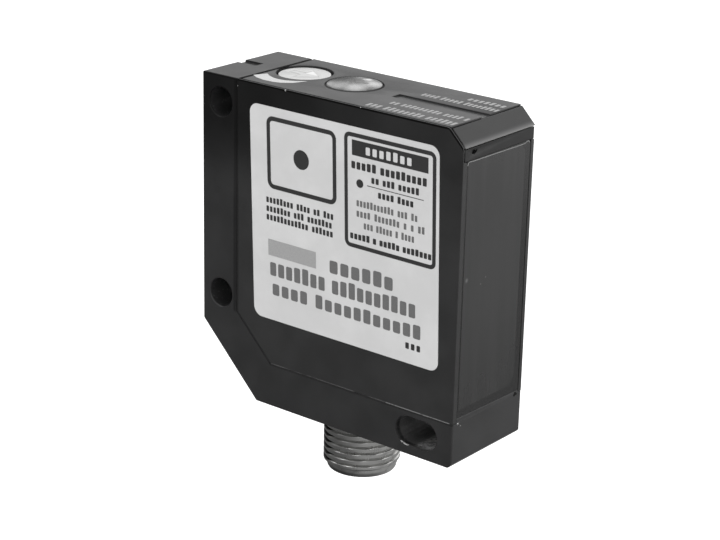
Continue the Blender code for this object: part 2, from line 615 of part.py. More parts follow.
def build_indicator():
    """Light guide with a domed lens, the light under it and the small board that carries it."""
    edge = LENS_RADIUS
    rim = HEIGHT - PLATE_EDGE
    dome = []
    for step in range(ARC_STEPS + 1):
        share = math.sin(math.pi / 2 * step / ARC_STEPS)
        dome.append((edge * share, rim + (HEIGHT + LENS_RISE - rim) * math.sqrt(max(0, 1 - share ** 2))))
    flange_top = TOP_UNDER - GAP
    flange_low = flange_top - LENS_FLANGE_THICKNESS
    stem_low = SHELF_TOP + GAP + LIGHT_HEIGHT + GAP
    profile = dome + [(edge, flange_top), (FLANGE_OF_LENS, flange_top), (FLANGE_OF_LENS, flange_low),
                      (STEM_RADIUS, flange_low), (STEM_RADIUS, stem_low), (0, stem_low)]
    turned("light_guide", profile, (LIGHT_X, AXIS_Y, 0), "Z", CLEAR, steps=STEPS)
    half = LIGHT_WIDTH / 2
    box("indicator_light", (LIGHT_X - half, AXIS_Y - half, SHELF_TOP + GAP),
        (LIGHT_X + half, AXIS_Y + half, SHELF_TOP + GAP + LIGHT_HEIGHT), PALE)
    box("display_board", (LEDGE_EDGE + GAP, INNER_LOW_Y, SHELF_LOW),
        (OPTICS_BOARD_X - GAP, INNER_HIGH_Y, SHELF_TOP), LAMINATE)


def pin_places():
    """Middle of each contact pin."""
    places = []
    for index in range(PIN_COUNT):
        angle = math.pi / PIN_COUNT + 2 * math.pi * index / PIN_COUNT
        places.append((CONNECTOR_X + PIN_CIRCLE * math.cos(angle), PIN_CIRCLE * math.sin(angle)))
    return places


def build_connector():
    """Shell with its seal, keyed insert, pins and the board that they are soldered to."""
    low = -CONNECTOR_REACH
    thread_low = low + TIP_LENGTH
    socket_top = low + SOCKET_DEPTH
    groove_top = RING_RISE + RING_SECTION + 2 * GAP
    shell = turned("connector_shell", [
        (FLANGE_RADIUS, SHELL_TOP), (FLANGE_RADIUS, FLOOR_Z), (BODY_RADIUS, FLOOR_Z),
        (BODY_RADIUS, groove_top), (GROOVE_RADIUS, groove_top),
        (GROOVE_RADIUS, RING_RISE), (BODY_RADIUS, RING_RISE),
        (BODY_RADIUS, BODY_START), (THREAD_RADIUS, BODY_START), (THREAD_RADIUS, thread_low),
        (TIP_RADIUS, thread_low), (TIP_RADIUS, low + TIP_CHAMFER / 2), (TIP_RADIUS - TIP_CHAMFER / 2, low),
        (SOCKET_RADIUS, low), (SOCKET_RADIUS, socket_top), (SEAT_RADIUS, socket_top),
        (SEAT_RADIUS, SHELL_TOP)], (CONNECTOR_X, 0, 0), "Z", NICKEL, closed=True, steps=STEPS)
    for side in (-1, 1):
        edges = sorted((side * INSIDE_Y, side * (FLANGE_RADIUS + OVER)))
        cut(shell, box("flange_flat", (CONNECTOR_X - FLANGE_RADIUS - OVER, edges[0], FLOOR_Z - GAP),
                       (CONNECTOR_X + FLANGE_RADIUS + OVER, edges[1], SHELL_TOP + OVER)))
    ring("connector_seal", GROOVE_RADIUS + GAP, RING_SECTION,
         (CONNECTOR_X, 0, RING_RISE + GAP + RING_SECTION / 2))

    seat_low = socket_top + GAP
    nose_low = socket_top - INSERT_NOSE
    insert = turned("contact_insert", [
        (0, SHELL_TOP), (SEAT_RADIUS - GAP, SHELL_TOP), (SEAT_RADIUS - GAP, seat_low),
        (NOSE_RADIUS, seat_low), (NOSE_RADIUS, nose_low), (0, nose_low)],
        (CONNECTOR_X, 0, 0), "Z", BLACK, steps=STEPS)
    key_end = low + KEY_SETBACK
    key_x = CONNECTOR_X - math.sqrt(NOSE_RADIUS ** 2 - (KEY_WIDTH / 2) ** 2)
    join(insert, box("coding_key", (key_x, -KEY_WIDTH / 2, key_end),
                     (key_x + KEY_HEIGHT, KEY_WIDTH / 2, nose_low + INSERT_NOSE / 2)))

    board = box("connector_board", (CONNECTOR_X - BODY_RADIUS, INNER_LOW_Y, CONNECTOR_BOARD_Z),
                (CONNECTOR_X + BODY_RADIUS, INNER_HIGH_Y, CONNECTOR_BOARD_Z + BOARD), LAMINATE)
    tip = PIN_RADIUS / 2
    pin = [(0, PIN_TOP), (PIN_RADIUS, PIN_TOP), (PIN_RADIUS, key_end + tip), (tip, key_end), (0, key_end)]
    places = pin_places()
    for index, (x, y) in enumerate(places, start=1):
        turned(f"contact_pin_{index}", pin, (x, y, 0), "Z", GOLD, steps=12)
        for target in (insert, board):
            cut(target, cylinder(f"{target.name}_hole_{index}", PIN_RADIUS + GAP, (x, y, -CONNECTOR_REACH),
                                 CONNECTOR_REACH + PIN_TOP + OVER, "Z", steps=12))


def screw_places():
    """Board screws, in the side view: over the emitter, between the bores and in the foot."""
    margin = SCREW_HEAD_RADIUS + GAP
    between = (EMITTER_Z - EMITTER_BORE + RECEIVER_Z + RECEIVER_BORE) / 2
    return [(CHASSIS_BACK + margin + BOARD, CARRIER_TOP - EMITTER_WALL / 2),
            ((CHASSIS_BACK + CHASSIS_FRONT) / 2, between),
            ((FOOT_BACK + CHASSIS_FRONT) / 2, FLOOR_Z + margin)]


def build_main_board():
    """Long board along the near side, with its parts and screws."""
    back = FLOOR_Z
    corner = band_line(FLOOR_Z)
    board = prism("main_board", [(back, CARRIER_TOP), corner[0], corner[1],
                                 (CHASSIS_FRONT, FLOOR_Z), (CHASSIS_FRONT, CARRIER_TOP)],
                  "Y", BOARD_LOW_Y, BOARD_HIGH_Y, LAMINATE)
    cut(board, box("connector_notch", (CONNECTOR_X - FLANGE_RADIUS - GAP, -HALF, 0),
                   (CONNECTOR_X + FLANGE_RADIUS + GAP, 0, SHELL_TOP + GAP)))
    chip_low = BOARD_HIGH_Y + GAP
    chip_high = chip_low + CHIP_HEIGHT
    x = back + PROCESSOR_PLACE[0]
    z = SHELF_LOW - PROCESSOR_PLACE[1]
    half = PROCESSOR_SIDE / 2
    processor = box("processor", (x - half, chip_low, z - half), (x + half, chip_high, z + half), CHIP)
    bevel(processor, PLATE_EDGE, 1)
    x = back + AMPLIFIER_PLACE[0]
    z = SHELF_LOW - AMPLIFIER_PLACE[1]
    wide, tall = (size / 2 for size in AMPLIFIER_SIZE)
    amplifier = box("amplifier", (x - wide, chip_low, z - tall), (x + wide, chip_high, z + tall), CHIP)
    bevel(amplifier, PLATE_EDGE, 1)
    can_z = PIN_TOP + CAPACITOR_RISE
    can_x = back + CAPACITOR_PLACE
    can = [(0, CAPACITOR_HEIGHT), (CAPACITOR_RADIUS - PLATE_EDGE, CAPACITOR_HEIGHT),
           (CAPACITOR_RADIUS, CAPACITOR_HEIGHT - PLATE_EDGE), (CAPACITOR_RADIUS, 0), (0, 0)]
    for index in range(2):
        turned(f"capacitor_{index + 1}", can, (can_x + index * CAPACITOR_PITCH, chip_low, can_z), "Y", ALLOY)

    head_y = BOARD_LOW_Y - GAP - SCREW_HEAD
    head_end = SCREW_HEAD
    shaft_end = head_end + GAP + BOARD + GAP + SCREW_DEPTH
    shaft = [(0, shaft_end), (SCREW_RADIUS, shaft_end), (SCREW_RADIUS, head_end),
             (SCREW_HEAD_RADIUS, head_end), (SCREW_HEAD_RADIUS, PLATE_EDGE),
             (SCREW_HEAD_RADIUS - PLATE_EDGE, 0), (0, 0)]
    long, narrow = SCREW_HEAD_RADIUS / 2, DRIVE_WIDTH / 2
    for index, (x, z) in enumerate(screw_places(), start=1):
        screw = turned(f"board_screw_{index}", shaft, (x, head_y, z), "Y", STEEL)
        cut(board, cylinder(f"board_hole_{index}", SCREW_RADIUS + GAP, (x, -HALF, z), THICKNESS, "Y"))
        for wide, tall in ((long, narrow), (narrow, long)):
            cut(screw, box(f"drive_{index}", (x - wide, head_y - OVER, z - tall),
                           (x + wide, head_y + DRIVE_DEPTH, z + tall)))


def build_optics():
    """Chassis with both bores, the emitter, the receiver and the board behind them."""
    chassis = prism("optics_chassis", [
        (CHASSIS_BACK, CARRIER_TOP), (CHASSIS_BACK, CHASSIS_LOW), (FOOT_BACK, CHASSIS_LOW),
        (FOOT_BACK, FLOOR_Z), (CHASSIS_FRONT, FLOOR_Z), (CHASSIS_FRONT, CARRIER_TOP)],
        "Y", INNER_LOW_Y, INNER_HIGH_Y, BLACK)
    depth = CHASSIS_FRONT - CHASSIS_BACK
    lens_back = BARREL_FRONT - LENS_RING - GAP - RECEIVER_LENS
    clear_radius = RECEIVER_BORE - SHOULDER
    cut(chassis,
        cylinder("emitter_bore", EMITTER_BORE, (CHASSIS_BACK - OVER, AXIS_Y, EMITTER_Z),
                 depth + 2 * OVER, "X"),
        cylinder("receiver_bore", RECEIVER_BORE, (lens_back - GAP, AXIS_Y, RECEIVER_Z),
                 depth, "X"),
        cylinder("receiver_clear", clear_radius, (CHASSIS_BACK - OVER, AXIS_Y, RECEIVER_Z),
                 depth, "X"))
    for index, (x, z) in enumerate(screw_places()):
        cut(chassis, cylinder(f"chassis_hole_{index}", SCREW_RADIUS + GAP, (x, INNER_LOW_Y - OVER, z),
                              OVER + SCREW_DEPTH + GAP, "Y"))

    length = BARREL_FRONT - BARREL_BACK
    seat = OPTIC_RADIUS + GAP
    turned("laser_barrel", [
        (BARREL_RADIUS, length), (BARREL_RADIUS, 0), (seat, 0), (seat, OPTIC_SEAT), (BARREL_BORE, OPTIC_SEAT),
        (BARREL_BORE, length - OPTIC_SEAT), (seat, length - OPTIC_SEAT), (seat, length)],
        (BARREL_BACK, AXIS_Y, EMITTER_Z), "X", ALLOY, closed=True)
    lens_back_x = BARREL_FRONT - OPTIC_SEAT + GAP
    turned("collimator_lens", lens_profile(OPTIC_RADIUS, OPTIC_THICKNESS, OPTIC_THICKNESS / 4),
           (lens_back_x, AXIS_Y, EMITTER_Z), "X", GLASS)
    flange = OPTIC_SEAT - GAP - GAP
    base = BARREL_BACK + GAP
    can_end = flange + CAN_LENGTH
    diode = turned("laser_diode", [
        (0, can_end), (CAN_RADIUS, can_end), (CAN_RADIUS, flange), (OPTIC_RADIUS, flange),
        (OPTIC_RADIUS, 0), (0, 0)], (base, AXIS_Y, EMITTER_Z), "X", GOLD)
    lead_back = OPTICS_BOARD_X + BOARD + GAP
    for index in range(3):
        angle = 2 * math.pi * index / 3
        join(diode, cylinder(f"lead_{index}", LEAD_RADIUS,
                             (lead_back, AXIS_Y + LEAD_CIRCLE * math.cos(angle),
                              EMITTER_Z + LEAD_CIRCLE * math.sin(angle)),
                             base - lead_back + flange / 2, "X", steps=8))

    turned("receiver_lens", lens_profile(RECEIVER_BORE - GAP, RECEIVER_LENS, RECEIVER_CROWN),
           (lens_back, AXIS_Y, RECEIVER_Z), "X", GLASS)
    outer = RECEIVER_BORE - GAP
    turned("lens_ring", [(outer, LENS_RING), (outer, 0), (clear_radius, 0), (clear_radius, LENS_RING)],
           (BARREL_FRONT - LENS_RING, AXIS_Y, RECEIVER_Z), "X", ALLOY, closed=True)
    deep, wide, tall = DETECTOR_SIZE
    face = OPTICS_BOARD_X + BOARD + GAP
    box("position_detector", (face, AXIS_Y - wide / 2, RECEIVER_Z - tall / 2),
        (face + deep, AXIS_Y + wide / 2, RECEIVER_Z + tall / 2), CHIP)
    box("optics_board", (OPTICS_BOARD_X, INNER_LOW_Y, CHASSIS_LOW),
        (OPTICS_BOARD_X + BOARD, INNER_HIGH_Y, TOP_UNDER - GAP - LENS_FLANGE_THICKNESS), LAMINATE)


def lens_profile(radius, thickness, crown):
    """Lens with two domed faces and a straight edge; its thickness is at the middle."""
    profile = []
    for step in range(ARC_STEPS + 1):
        share = step / ARC_STEPS
        profile.append((radius * share, thickness - crown * share ** 2))
    for step in range(ARC_STEPS, -1, -1):
        share = step / ARC_STEPS
        profile.append((radius * share, crown * share ** 2))
    return profile


build_frame()
build_sides()
build_top_cover()
build_front()
build_adjuster()
build_indicator()
build_connector()
build_main_board()
build_optics()
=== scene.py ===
"""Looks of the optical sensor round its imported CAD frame: materials, print, thread, window, light, camera.

Sizes are in millimetres of the housing's own coordinates, as in the part's source: X from the back face
to the front face, Y from the label side (-8.5) to the far side (8.5), Z from the bottom face to the top.
at() and along() turn them into the frame's metres.
"""
import functools
import math

import bmesh
import bpy
from mathutils import Matrix, Vector


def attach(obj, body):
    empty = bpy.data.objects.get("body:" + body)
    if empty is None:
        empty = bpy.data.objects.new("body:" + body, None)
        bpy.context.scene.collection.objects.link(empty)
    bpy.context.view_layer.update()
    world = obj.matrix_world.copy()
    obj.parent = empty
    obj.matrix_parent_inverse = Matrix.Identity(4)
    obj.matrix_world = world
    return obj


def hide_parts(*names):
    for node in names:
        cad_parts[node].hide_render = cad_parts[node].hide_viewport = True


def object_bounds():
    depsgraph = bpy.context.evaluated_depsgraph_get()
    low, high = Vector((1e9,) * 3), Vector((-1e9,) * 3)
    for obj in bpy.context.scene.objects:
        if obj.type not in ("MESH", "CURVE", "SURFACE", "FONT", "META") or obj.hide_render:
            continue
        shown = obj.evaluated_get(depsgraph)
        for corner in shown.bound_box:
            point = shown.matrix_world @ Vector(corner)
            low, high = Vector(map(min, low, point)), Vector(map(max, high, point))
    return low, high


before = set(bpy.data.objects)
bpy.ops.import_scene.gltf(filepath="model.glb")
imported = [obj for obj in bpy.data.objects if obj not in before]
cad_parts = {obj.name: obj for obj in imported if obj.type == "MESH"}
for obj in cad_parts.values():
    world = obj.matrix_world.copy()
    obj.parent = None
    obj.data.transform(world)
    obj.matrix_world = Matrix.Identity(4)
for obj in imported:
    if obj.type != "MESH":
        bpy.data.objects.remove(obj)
CAD_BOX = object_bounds()

MM = 0.001
ORIGIN = Vector((3.65, 8.5, 30.9))  # the row frame's origin in the housing's coordinates

# Places and sizes that repeat the part's source
NEAR_Y, FAR_Y = -8.5, 8.5
TOP_Z = 50.0
FRONT_X = 48.0
LABEL = (9.97, 44.55, 14.15, 46.98)  # back, front, bottom and top edge
LABEL_ROUND = 1.5
LABEL_LOW, LABEL_FACE = -8.505, -8.6
LEAN = -0.034  # the label's uprights lean to the back by this share of their height
LEAN_MIDDLE = 30.5
PLATE_X, PLATE_LOW = 6.89, 6.90  # side plates' back and bottom edge
HEEL = 13.72  # side plates' cut corner over the heel: its far ends
WALL, RIM = 0.75, 0.16  # side plates' thickness, and at the edges that the top parts reach
JOINT = 0.34  # open joints round the top parts
TOP_NEAR = NEAR_Y + RIM + JOINT  # near side of the top parts
PANE = (-7.69, 7.69, 7.2, 45.40)  # near, far, bottom and top edge
PANE_BACK, PANE_FACE = 46.8, 47.93
STRIP = (44.6, 45.44, 47.19)  # surround above the pane: back, low and high edge
STRIP_FRONT = 47.9
BEZEL_BACK, BEZEL_LOW = 45.67, 47.35
NOSE = 2.5  # leg of the 45 degree slope at the top front edge
COVER = (7.26, 45.42)  # top cover's back and front edge
COVER_UNDER = 48.4
GROOVE = (29.65, 46.5, -0.95, 0.95)  # back and front end, near and far edge
GROOVE_DEPTH = 0.26
DIAL = (11.7, 1.1)  # axis in X and Y
DIAL_TOP = 49.8
LENS = (21.2, 1.1)
PLUG = (25.1, 0.0)
CREST, ROOT, PITCH = 5.9, 5.5, 1.0  # the plug's thread
THREAD_LOW, THREAD_HIGH = -8.15, 0.6
THREAD_START = 200.0  # angle of its first point, in degrees


def at(x, y, z):
    """Housing millimetres to the frame's metres."""
    return (Vector((x, y, z)) - ORIGIN) * MM


def along(axis, place):
    """Housing millimetres along one axis to the frame's metres."""
    return (place - ORIGIN["XYZ".index(axis)]) * MM


def put(name, data):
    """A new object in the scene."""
    made = bpy.data.objects.new(name, data)
    bpy.context.scene.collection.objects.link(made)
    return made


# Camera: a pinhole fitted to the photograph's outline corners

AZIMUTH, ELEVATION, ROLL = (math.radians(a) for a in (38.477, 19.666, -1.347))
TARGET = (24.0, 0.0, 25.0)
TARGET_IN_VIEW = Vector((0.149, -2.657, 297.616))  # right, down and forward of the camera
LENS_LENGTH = 100.317


def build_camera():
    """The photograph's view."""
    back = Vector((math.sin(AZIMUTH) * math.cos(ELEVATION), -math.cos(AZIMUTH) * math.cos(ELEVATION),
                   math.sin(ELEVATION)))
    forward = -back
    level = forward.cross(Vector((0, 0, 1))).normalized()
    down = forward.cross(level)
    right = math.cos(ROLL) * level + math.sin(ROLL) * down
    down = -math.sin(ROLL) * level + math.cos(ROLL) * down
    place = at(*TARGET) - (right * TARGET_IN_VIEW.x + down * TARGET_IN_VIEW.y
                           + forward * TARGET_IN_VIEW.z) * MM
    data = bpy.data.cameras.new("camera")
    data.lens = LENS_LENGTH
    data.sensor_width = 36.0
    data.clip_start, data.clip_end = 0.01, 20.0
    camera = put("camera", data)
    turn = Matrix((right, -down, back)).transposed()
    camera.matrix_world = Matrix.Translation(place) @ turn.to_4x4()
    bpy.context.scene.camera = camera


# Node graphs

class Nodes:
    """The node tree of a material or a world."""

    def __init__(self, owner):
        owner.use_nodes = True
        self.tree = owner.node_tree

    def add(self, kind, inputs=None, **settings):
        """A node with its settings and inputs, which are values or other nodes' sockets."""
        node = self.tree.nodes.new(kind)
        for key, value in settings.items():
            setattr(node, key, value)
        for key, value in (inputs or {}).items():
            self.feed(node.inputs[key], value)
        return node

    def feed(self, socket, value):
        """Links a socket to the input, or sets its value."""
        if isinstance(value, bpy.types.NodeSocket):
            self.tree.links.new(value, socket)
        else:
            socket.default_value = value


class Graph(Nodes):
    """A material's node tree with short calls for the nodes used here."""

    def __init__(self, name):
        self.material = bpy.data.materials.new(name)
        super().__init__(self.material)
        self.shader = self.tree.nodes["Principled BSDF"]
        self.place = self.add("ShaderNodeTexCoord").outputs["Object"]
        self.axes = self.add("ShaderNodeSeparateXYZ", {"Vector": self.place}).outputs

    def set(self, **inputs):
        """Inputs of the surface shader, with _ for the spaces in their names."""
        for key, value in inputs.items():
            if isinstance(value, tuple) and len(value) == 3:
                value = (*value, 1.0)
            self.feed(self.shader.inputs[key.replace("_", " ")], value)
        return self.material

    def noise(self, size, detail=2.0, rough=0.5, stretch=None):
        """Noise from 0 to 1 with features of a size in millimetres."""
        vector = self.place
        if stretch:
            vector = self.add("ShaderNodeMapping", {"Vector": vector, "Scale": stretch}).outputs["Vector"]
        return self.add("ShaderNodeTexNoise", {"Vector": vector, "Scale": 1 / (size * MM),
                                               "Detail": detail, "Roughness": rough}).outputs["Fac"]

    def math(self, operation, *values, clamp=False):
        """One Math node."""
        return self.add("ShaderNodeMath", dict(enumerate(values)), operation=operation,
                        use_clamp=clamp).outputs[0]

    def times(self, *masks):
        """Product of masks and numbers."""
        return functools.reduce(lambda one, two: self.math("MULTIPLY", one, two), masks)

    def largest(self, *masks):
        """Largest of several masks."""
        return functools.reduce(lambda one, two: self.math("MAXIMUM", one, two), masks)

    def apart(self, one, two):
        """How far two values are apart."""
        return self.math("ABSOLUTE", self.math("SUBTRACT", one, two))

    def span(self, value, low, high, to_low=0.0, to_high=1.0):
        """Maps low..high of a value smoothly to another range, clamped."""
        node = self.add("ShaderNodeMapRange", {"Value": value, "From Min": low, "From Max": high,
                                               "To Min": to_low, "To Max": to_high},
                        interpolation_type="SMOOTHSTEP")
        return node.outputs["Result"]

    def ramp(self, axis, start, end, to_start=0.0, to_end=1.0):
        """Maps a run of housing millimetres along an axis to another range."""
        return self.span(self.axes[axis], along(axis, start), along(axis, end), to_start, to_end)

    def mix(self, share, first, second):
        """Mix of two colours; a number stands for a grey."""
        node = self.add("ShaderNodeMix", data_type="RGBA")
        self.feed(node.inputs["Factor"], share)
        for key, value in (("A", first), ("B", second)):
            socket = next(s for s in node.inputs if s.name == key and s.type == "RGBA")
            if isinstance(value, float):
                value = (value,) * 3
            self.feed(socket, (*value, 1.0) if isinstance(value, tuple) else value)
        return next(s for s in node.outputs if s.type == "RGBA")

    def lay(self, tone, colour, mask, share=1.0):
        """A tone with a colour laid over it by a share of a mask."""
        return self.mix(self.times(mask, share), tone, colour)

    def bump(self, height, distance, normal=None):
        """Bump from a height, where a full step stands for a distance in millimetres."""
        inputs = {"Height": height, "Distance": distance * MM, "Strength": 1.0}
        if normal is not None:
            inputs["Normal"] = normal
        return self.add("ShaderNodeBump", inputs).outputs["Normal"]

    def round_edges(self, radius):
        """Normal that rounds sharp edges by a radius in millimetres."""
        return self.add("ShaderNodeBevel", {"Radius": radius * MM}, samples=6).outputs["Normal"]

    def specks(self, cell, size, share):
        """Mask of sparse round specks: one in a share of the cells, each up to a size, in millimetres."""
        cells = self.add("ShaderNodeTexVoronoi", {"Vector": self.place, "Scale": 1 / (cell * MM)})
        near = self.span(cells.outputs["Distance"], size / cell, size / cell * 0.5)
        pick = self.add("ShaderNodeSeparateColor", {"Color": cells.outputs["Color"]}).outputs["Red"]
        return self.times(near, self.math("LESS_THAN", pick, share))

    def block(self, low, high, soft):
        """Mask that is 1 in a box of housing millimetres and fades out over a margin."""
        return self.times(*(self.times(self.ramp(axis, start - soft, start), self.ramp(axis, end + soft, end))
                            for axis, start, end in zip("XYZ", low, high)))

    def distance(self, place, keep=(1.0, 1.0, 1.0)):
        """Distance in metres from a place in housing millimetres, along the axes that are kept."""
        here = self.add("ShaderNodeVectorMath", {0: self.place, 1: keep}, operation="MULTIPLY").outputs[0]
        there = tuple(a * b for a, b in zip(at(*place), keep))
        return self.add("ShaderNodeVectorMath", {0: here, 1: there}, operation="DISTANCE").outputs["Value"]

    def upright(self, x, y):
        """Distance in metres from an upright line."""
        return self.distance((x, y, 0.0), keep=(1.0, 1.0, 0.0))

    def spot(self, place, radius):
        """Mask that is 1 at a place in housing millimetres and 0 from a radius on."""
        return self.span(self.distance(place), radius * MM, 0.0)


# Paint

BLACK = (0.0215, 0.0215, 0.0220)
PLATE_BLACK = (0.0225, 0.0225, 0.0228)
DEEP = 0.001  # grey of joints, pits and shaded paint
BARE = 0.62  # grey of worn metal
DUST = (1.6, 0.07, 0.03)  # cell, size and share of the dust's specks
PEEL = 0.006  # depth of the paint's grain
PAINT_ROUND = 0.14  # rounding of painted edges
# Ends of the frame's openings in X and in Z; the last one is the slot
OPENINGS = ((0.9, 6.3, 43.2, 48.4), (0.9, 6.3, 13.4, 18.4), (37.5, 45.8, 1.1, 6.4))
# Worn arc on the slot's rim: centre and radius of its circle, its width, its middle and how far it reaches
RIM_ARC = ((40.1, NEAR_Y, 3.75), 2.28, 0.075, (39.7, NEAR_Y, 1.65), 1.35)
# Painted highlights along the near plate's bottom edge: ends, lowest point, margin, breaks, tone and share
EDGE_HIGHLIGHTS = ((14.0, 36.0, 6.84, 0.1, (2.5, 0.35, 0.6), 0.085, 1.0),
              (36.0, 47.4, 6.8, 0.07, (0.9, 0.2, 0.4), 0.26, 0.85))
# Places and radii of chips and pits
FRAME_CHIPS = (((48.0, -7.25, 6.75), 0.32), ((48.0, -6.6, 6.3), 0.2))
FRAME_PITS = (((48.0, 6.75, 6.75), 0.5), ((48.0, 7.2, 6.8), 0.45))
SILL_PITS = (((48.0, 6.9, 6.9), 0.5),)
PLATE_CHIPS = (((16.2, NEAR_Y, TOP_Z), 0.4), ((30.0, NEAR_Y, TOP_Z), 0.25), ((6.95, NEAR_Y, 48.9), 0.2))


def scaled(colour, share):
    """A colour made lighter or darker."""
    return tuple(c * share for c in colour)


def start_paint(name, colour, roughness=0.42):
    """Graph, tone and roughness of satin paint, with faint cloudiness and dust."""
    g = Graph(name)
    cloud = g.noise(6.0, 3.0)
    tone = g.mix(g.span(cloud, 0.3, 0.7), scaled(colour, 0.88), scaled(colour, 1.12))
    return (g, g.lay(tone, 0.20, g.specks(*DUST), 0.5),
            g.span(cloud, 0.3, 0.7, roughness - 0.03, roughness + 0.04))


def end_paint(g, tone, rough, relief=0.0, level=0.5, worn=None):
    """Surface of the paint: fine peel, any further relief, and bare metal where it is worn."""
    if worn is not None:
        worn = g.span(worn, 0.25, 0.4)
        tone = g.mix(worn, tone, BARE)
        g.set(Metallic=g.times(worn, 0.6))
    height = g.math("ADD", g.noise(0.22, 3.0, 0.6), relief)
    return g.set(Base_Color=tone, Roughness=rough, Specular_IOR_Level=level,
                 Normal=g.bump(height, PEEL, g.round_edges(PAINT_ROUND)))


def cast_openings(g, tone):
    """Tone and relief with rough insides of the openings; in the slot, a lighter tone that paints light on
    its inside, painted shade along its lip on the label side and a painted highlight at its far end.
    """
    deep = g.largest(*(g.block((x0, -8.0, z0), (x1, 8.0, z1), 0.3) for x0, x1, z0, z1 in OPENINGS))
    cast = g.noise(0.5, 4.0, 0.7)
    x0, x1, z0, z1 = OPENINGS[-1]
    # painted light: the slot's inside is made lighter than the paint
    tone = g.mix(g.block((x0, -8.2, z0), (x1, 8.0, z1), 0.1), tone, 0.055)
    # painted shade along the slot's lip on the label side
    tone = g.lay(tone, 0.004, g.block((x0 - 0.3, -8.0, z0 - 0.2), (42.0, -7.7, z1 + 0.2), 0.35), 0.9)
    # painted highlight at the slot's far end
    far_end_highlight = g.block((41.8, -7.2, z0), (x1, 7.1, z1 - 1.0), 1.2)
    tone = g.lay(tone, 0.26, far_end_highlight, g.span(cast, 0.35, 0.6))
    tone = g.lay(tone, 0.12, g.times(deep, g.specks(0.55, 0.2, 0.5)), 0.3)
    return tone, g.times(deep, cast, 9.0)


def chips(g, places):
    """Mask of ragged chips."""
    ragged = g.span(g.noise(0.16), 0.44, 0.56)
    return g.largest(*(g.times(g.spot(*place), ragged) for place in places))


def rim_wear(g):
    """Mask of the worn arc on the slot's rim, on the label side."""
    centre, radius, width, middle, reach = RIM_ARC
    off = g.apart(g.distance(centre, keep=(1.0, 0.0, 1.0)), radius * MM)
    return g.times(g.span(off, width * MM, 0.4 * width * MM), g.spot(middle, reach),
                   g.span(g.noise(0.3), 0.3, 0.5), g.ramp("Y", NEAR_Y + 0.3, NEAR_Y + 0.15))


def pitted(g, tone, rough, places):
    """Tone and roughness with black pits."""
    for place in places:
        dark = g.span(g.spot(*place), 0.3, 0.5)
        tone, rough = g.mix(dark, tone, DEEP), g.largest(rough, dark)
    return tone, rough


def shaded(g, tone, inner):
    """Tone and gloss with the label side's shade, which reaches to a level inside that side.

    It is soft over the side's upper end and in the joints round the plate, and full along the top edge and
    the nose's slope.
    """
    upper = g.times(g.ramp("Z", 29.9, 43.9), g.ramp("X", 11.65, 41.65, 0.70, 0.3))
    diagonal = g.math("ADD", g.axes["X"], g.axes["Z"])
    heel = along("X", HEEL) + along("Z", PLATE_LOW)
    slope = along("X", FRONT_X) + along("Z", TOP_Z - NOSE)
    joints = g.largest(
        g.block((6.4, -9.0, HEEL), (PLATE_X + 0.1, 0.0, 51.0), 0.4),
        g.times(0.7, g.block((HEEL, -9.0, 6.7), (FRONT_X, 0.0, PLATE_LOW), 0.15)),
        g.times(g.span(g.apart(diagonal, heel), 0.4 * MM, 0.15 * MM),
                g.block((6.7, -9.0, 6.7), (HEEL, 0.0, HEEL), 0.3)))
    edges = g.largest(g.ramp("Z", TOP_Z - 0.42, TOP_Z - 0.22),
                      g.span(diagonal, slope - 0.55 * MM, slope - 0.3 * MM))
    dim = g.largest(upper, g.times(joints, g.span(upper, 0.0, 1.0, 0.45, 0.9)), g.times(edges, 0.95))
    dim = g.times(g.ramp("Y", inner + 0.01, inner), dim)
    return g.mix(dim, tone, DEEP), g.span(dim, 0.0, 1.0, 0.5, 0.12)


def frame_paint():
    """Frame, with its rough openings, and chips and pits at the toe."""
    g, tone, rough = start_paint("frame_paint", BLACK)
    tone, relief = cast_openings(g, tone)
    tone, rough = pitted(g, tone, rough, FRAME_PITS)
    tone, level = shaded(g, tone, NEAR_Y + 0.2)
    return end_paint(g, tone, rough, relief, level, g.largest(chips(g, FRAME_CHIPS), rim_wear(g)))


def plate_paint():
    """Side plates, with painted highlights along the near one's bottom edge and chips along its top."""
    g, tone, rough = start_paint("plate_paint", PLATE_BLACK, 0.44)
    # painted highlights along the near plate's lit bottom edge
    for start, end, low, soft, (size, gone, whole), value, share in EDGE_HIGHLIGHTS:
        line = g.block((start, NEAR_Y - 0.1, low), (end, NEAR_Y + 0.12, 7.0), soft)
        tone = g.lay(tone, value, g.times(line, g.span(g.noise(size), gone, whole)), share)
    tone, level = shaded(g, tone, NEAR_Y + 0.01)
    return end_paint(g, tone, rough, level=level, worn=chips(g, PLATE_CHIPS))


def cover_paint():
    """Top cover, with a painted shadow as a crescent in front of the lens's hole and a dark joint along its
    back edge.
    """
    g, tone, rough = start_paint("cover_finish", BLACK)
    # painted shadow in front of the lens's hole, and the dark joint along the back edge
    dark = g.largest(g.span(g.upright(LENS[0] + 0.42, LENS[1] - 0.53), 4.5 * MM, 4.35 * MM),
                     g.block((7.2, -8.1, TOP_Z - 0.1), (7.52, 9.0, TOP_Z + 0.1), 0.08))
    return end_paint(g, g.mix(dark, tone, DEEP), rough, level=g.span(dark, 0.0, 1.0, 0.5, 0.05))


def sill_paint():
    """Sill under the pane, with a pit at its far end."""
    g, tone, rough = start_paint("sill_paint", BLACK)
    return end_paint(g, *pitted(g, tone, rough, SILL_PITS))


def bezel_paint():
    """Bezel bar, with a painted highlight that grows towards its lower edge."""
    g = Graph("bezel_finish")
    # painted highlight towards the bezel's lower edge
    low = g.ramp("Z", 48.3, 47.4)
    cloud = g.noise(4.0, 3.0)
    tone = g.lay(g.mix(g.span(cloud, 0.3, 0.7), 0.018, 0.023), 0.15, low, low)
    return end_paint(g, g.lay(tone, 0.20, g.specks(*DUST), 0.5), g.span(cloud, 0.3, 0.7, 0.34, 0.40))


# Other finishes

ALUMINIUM = (0.72, 0.72, 0.73)


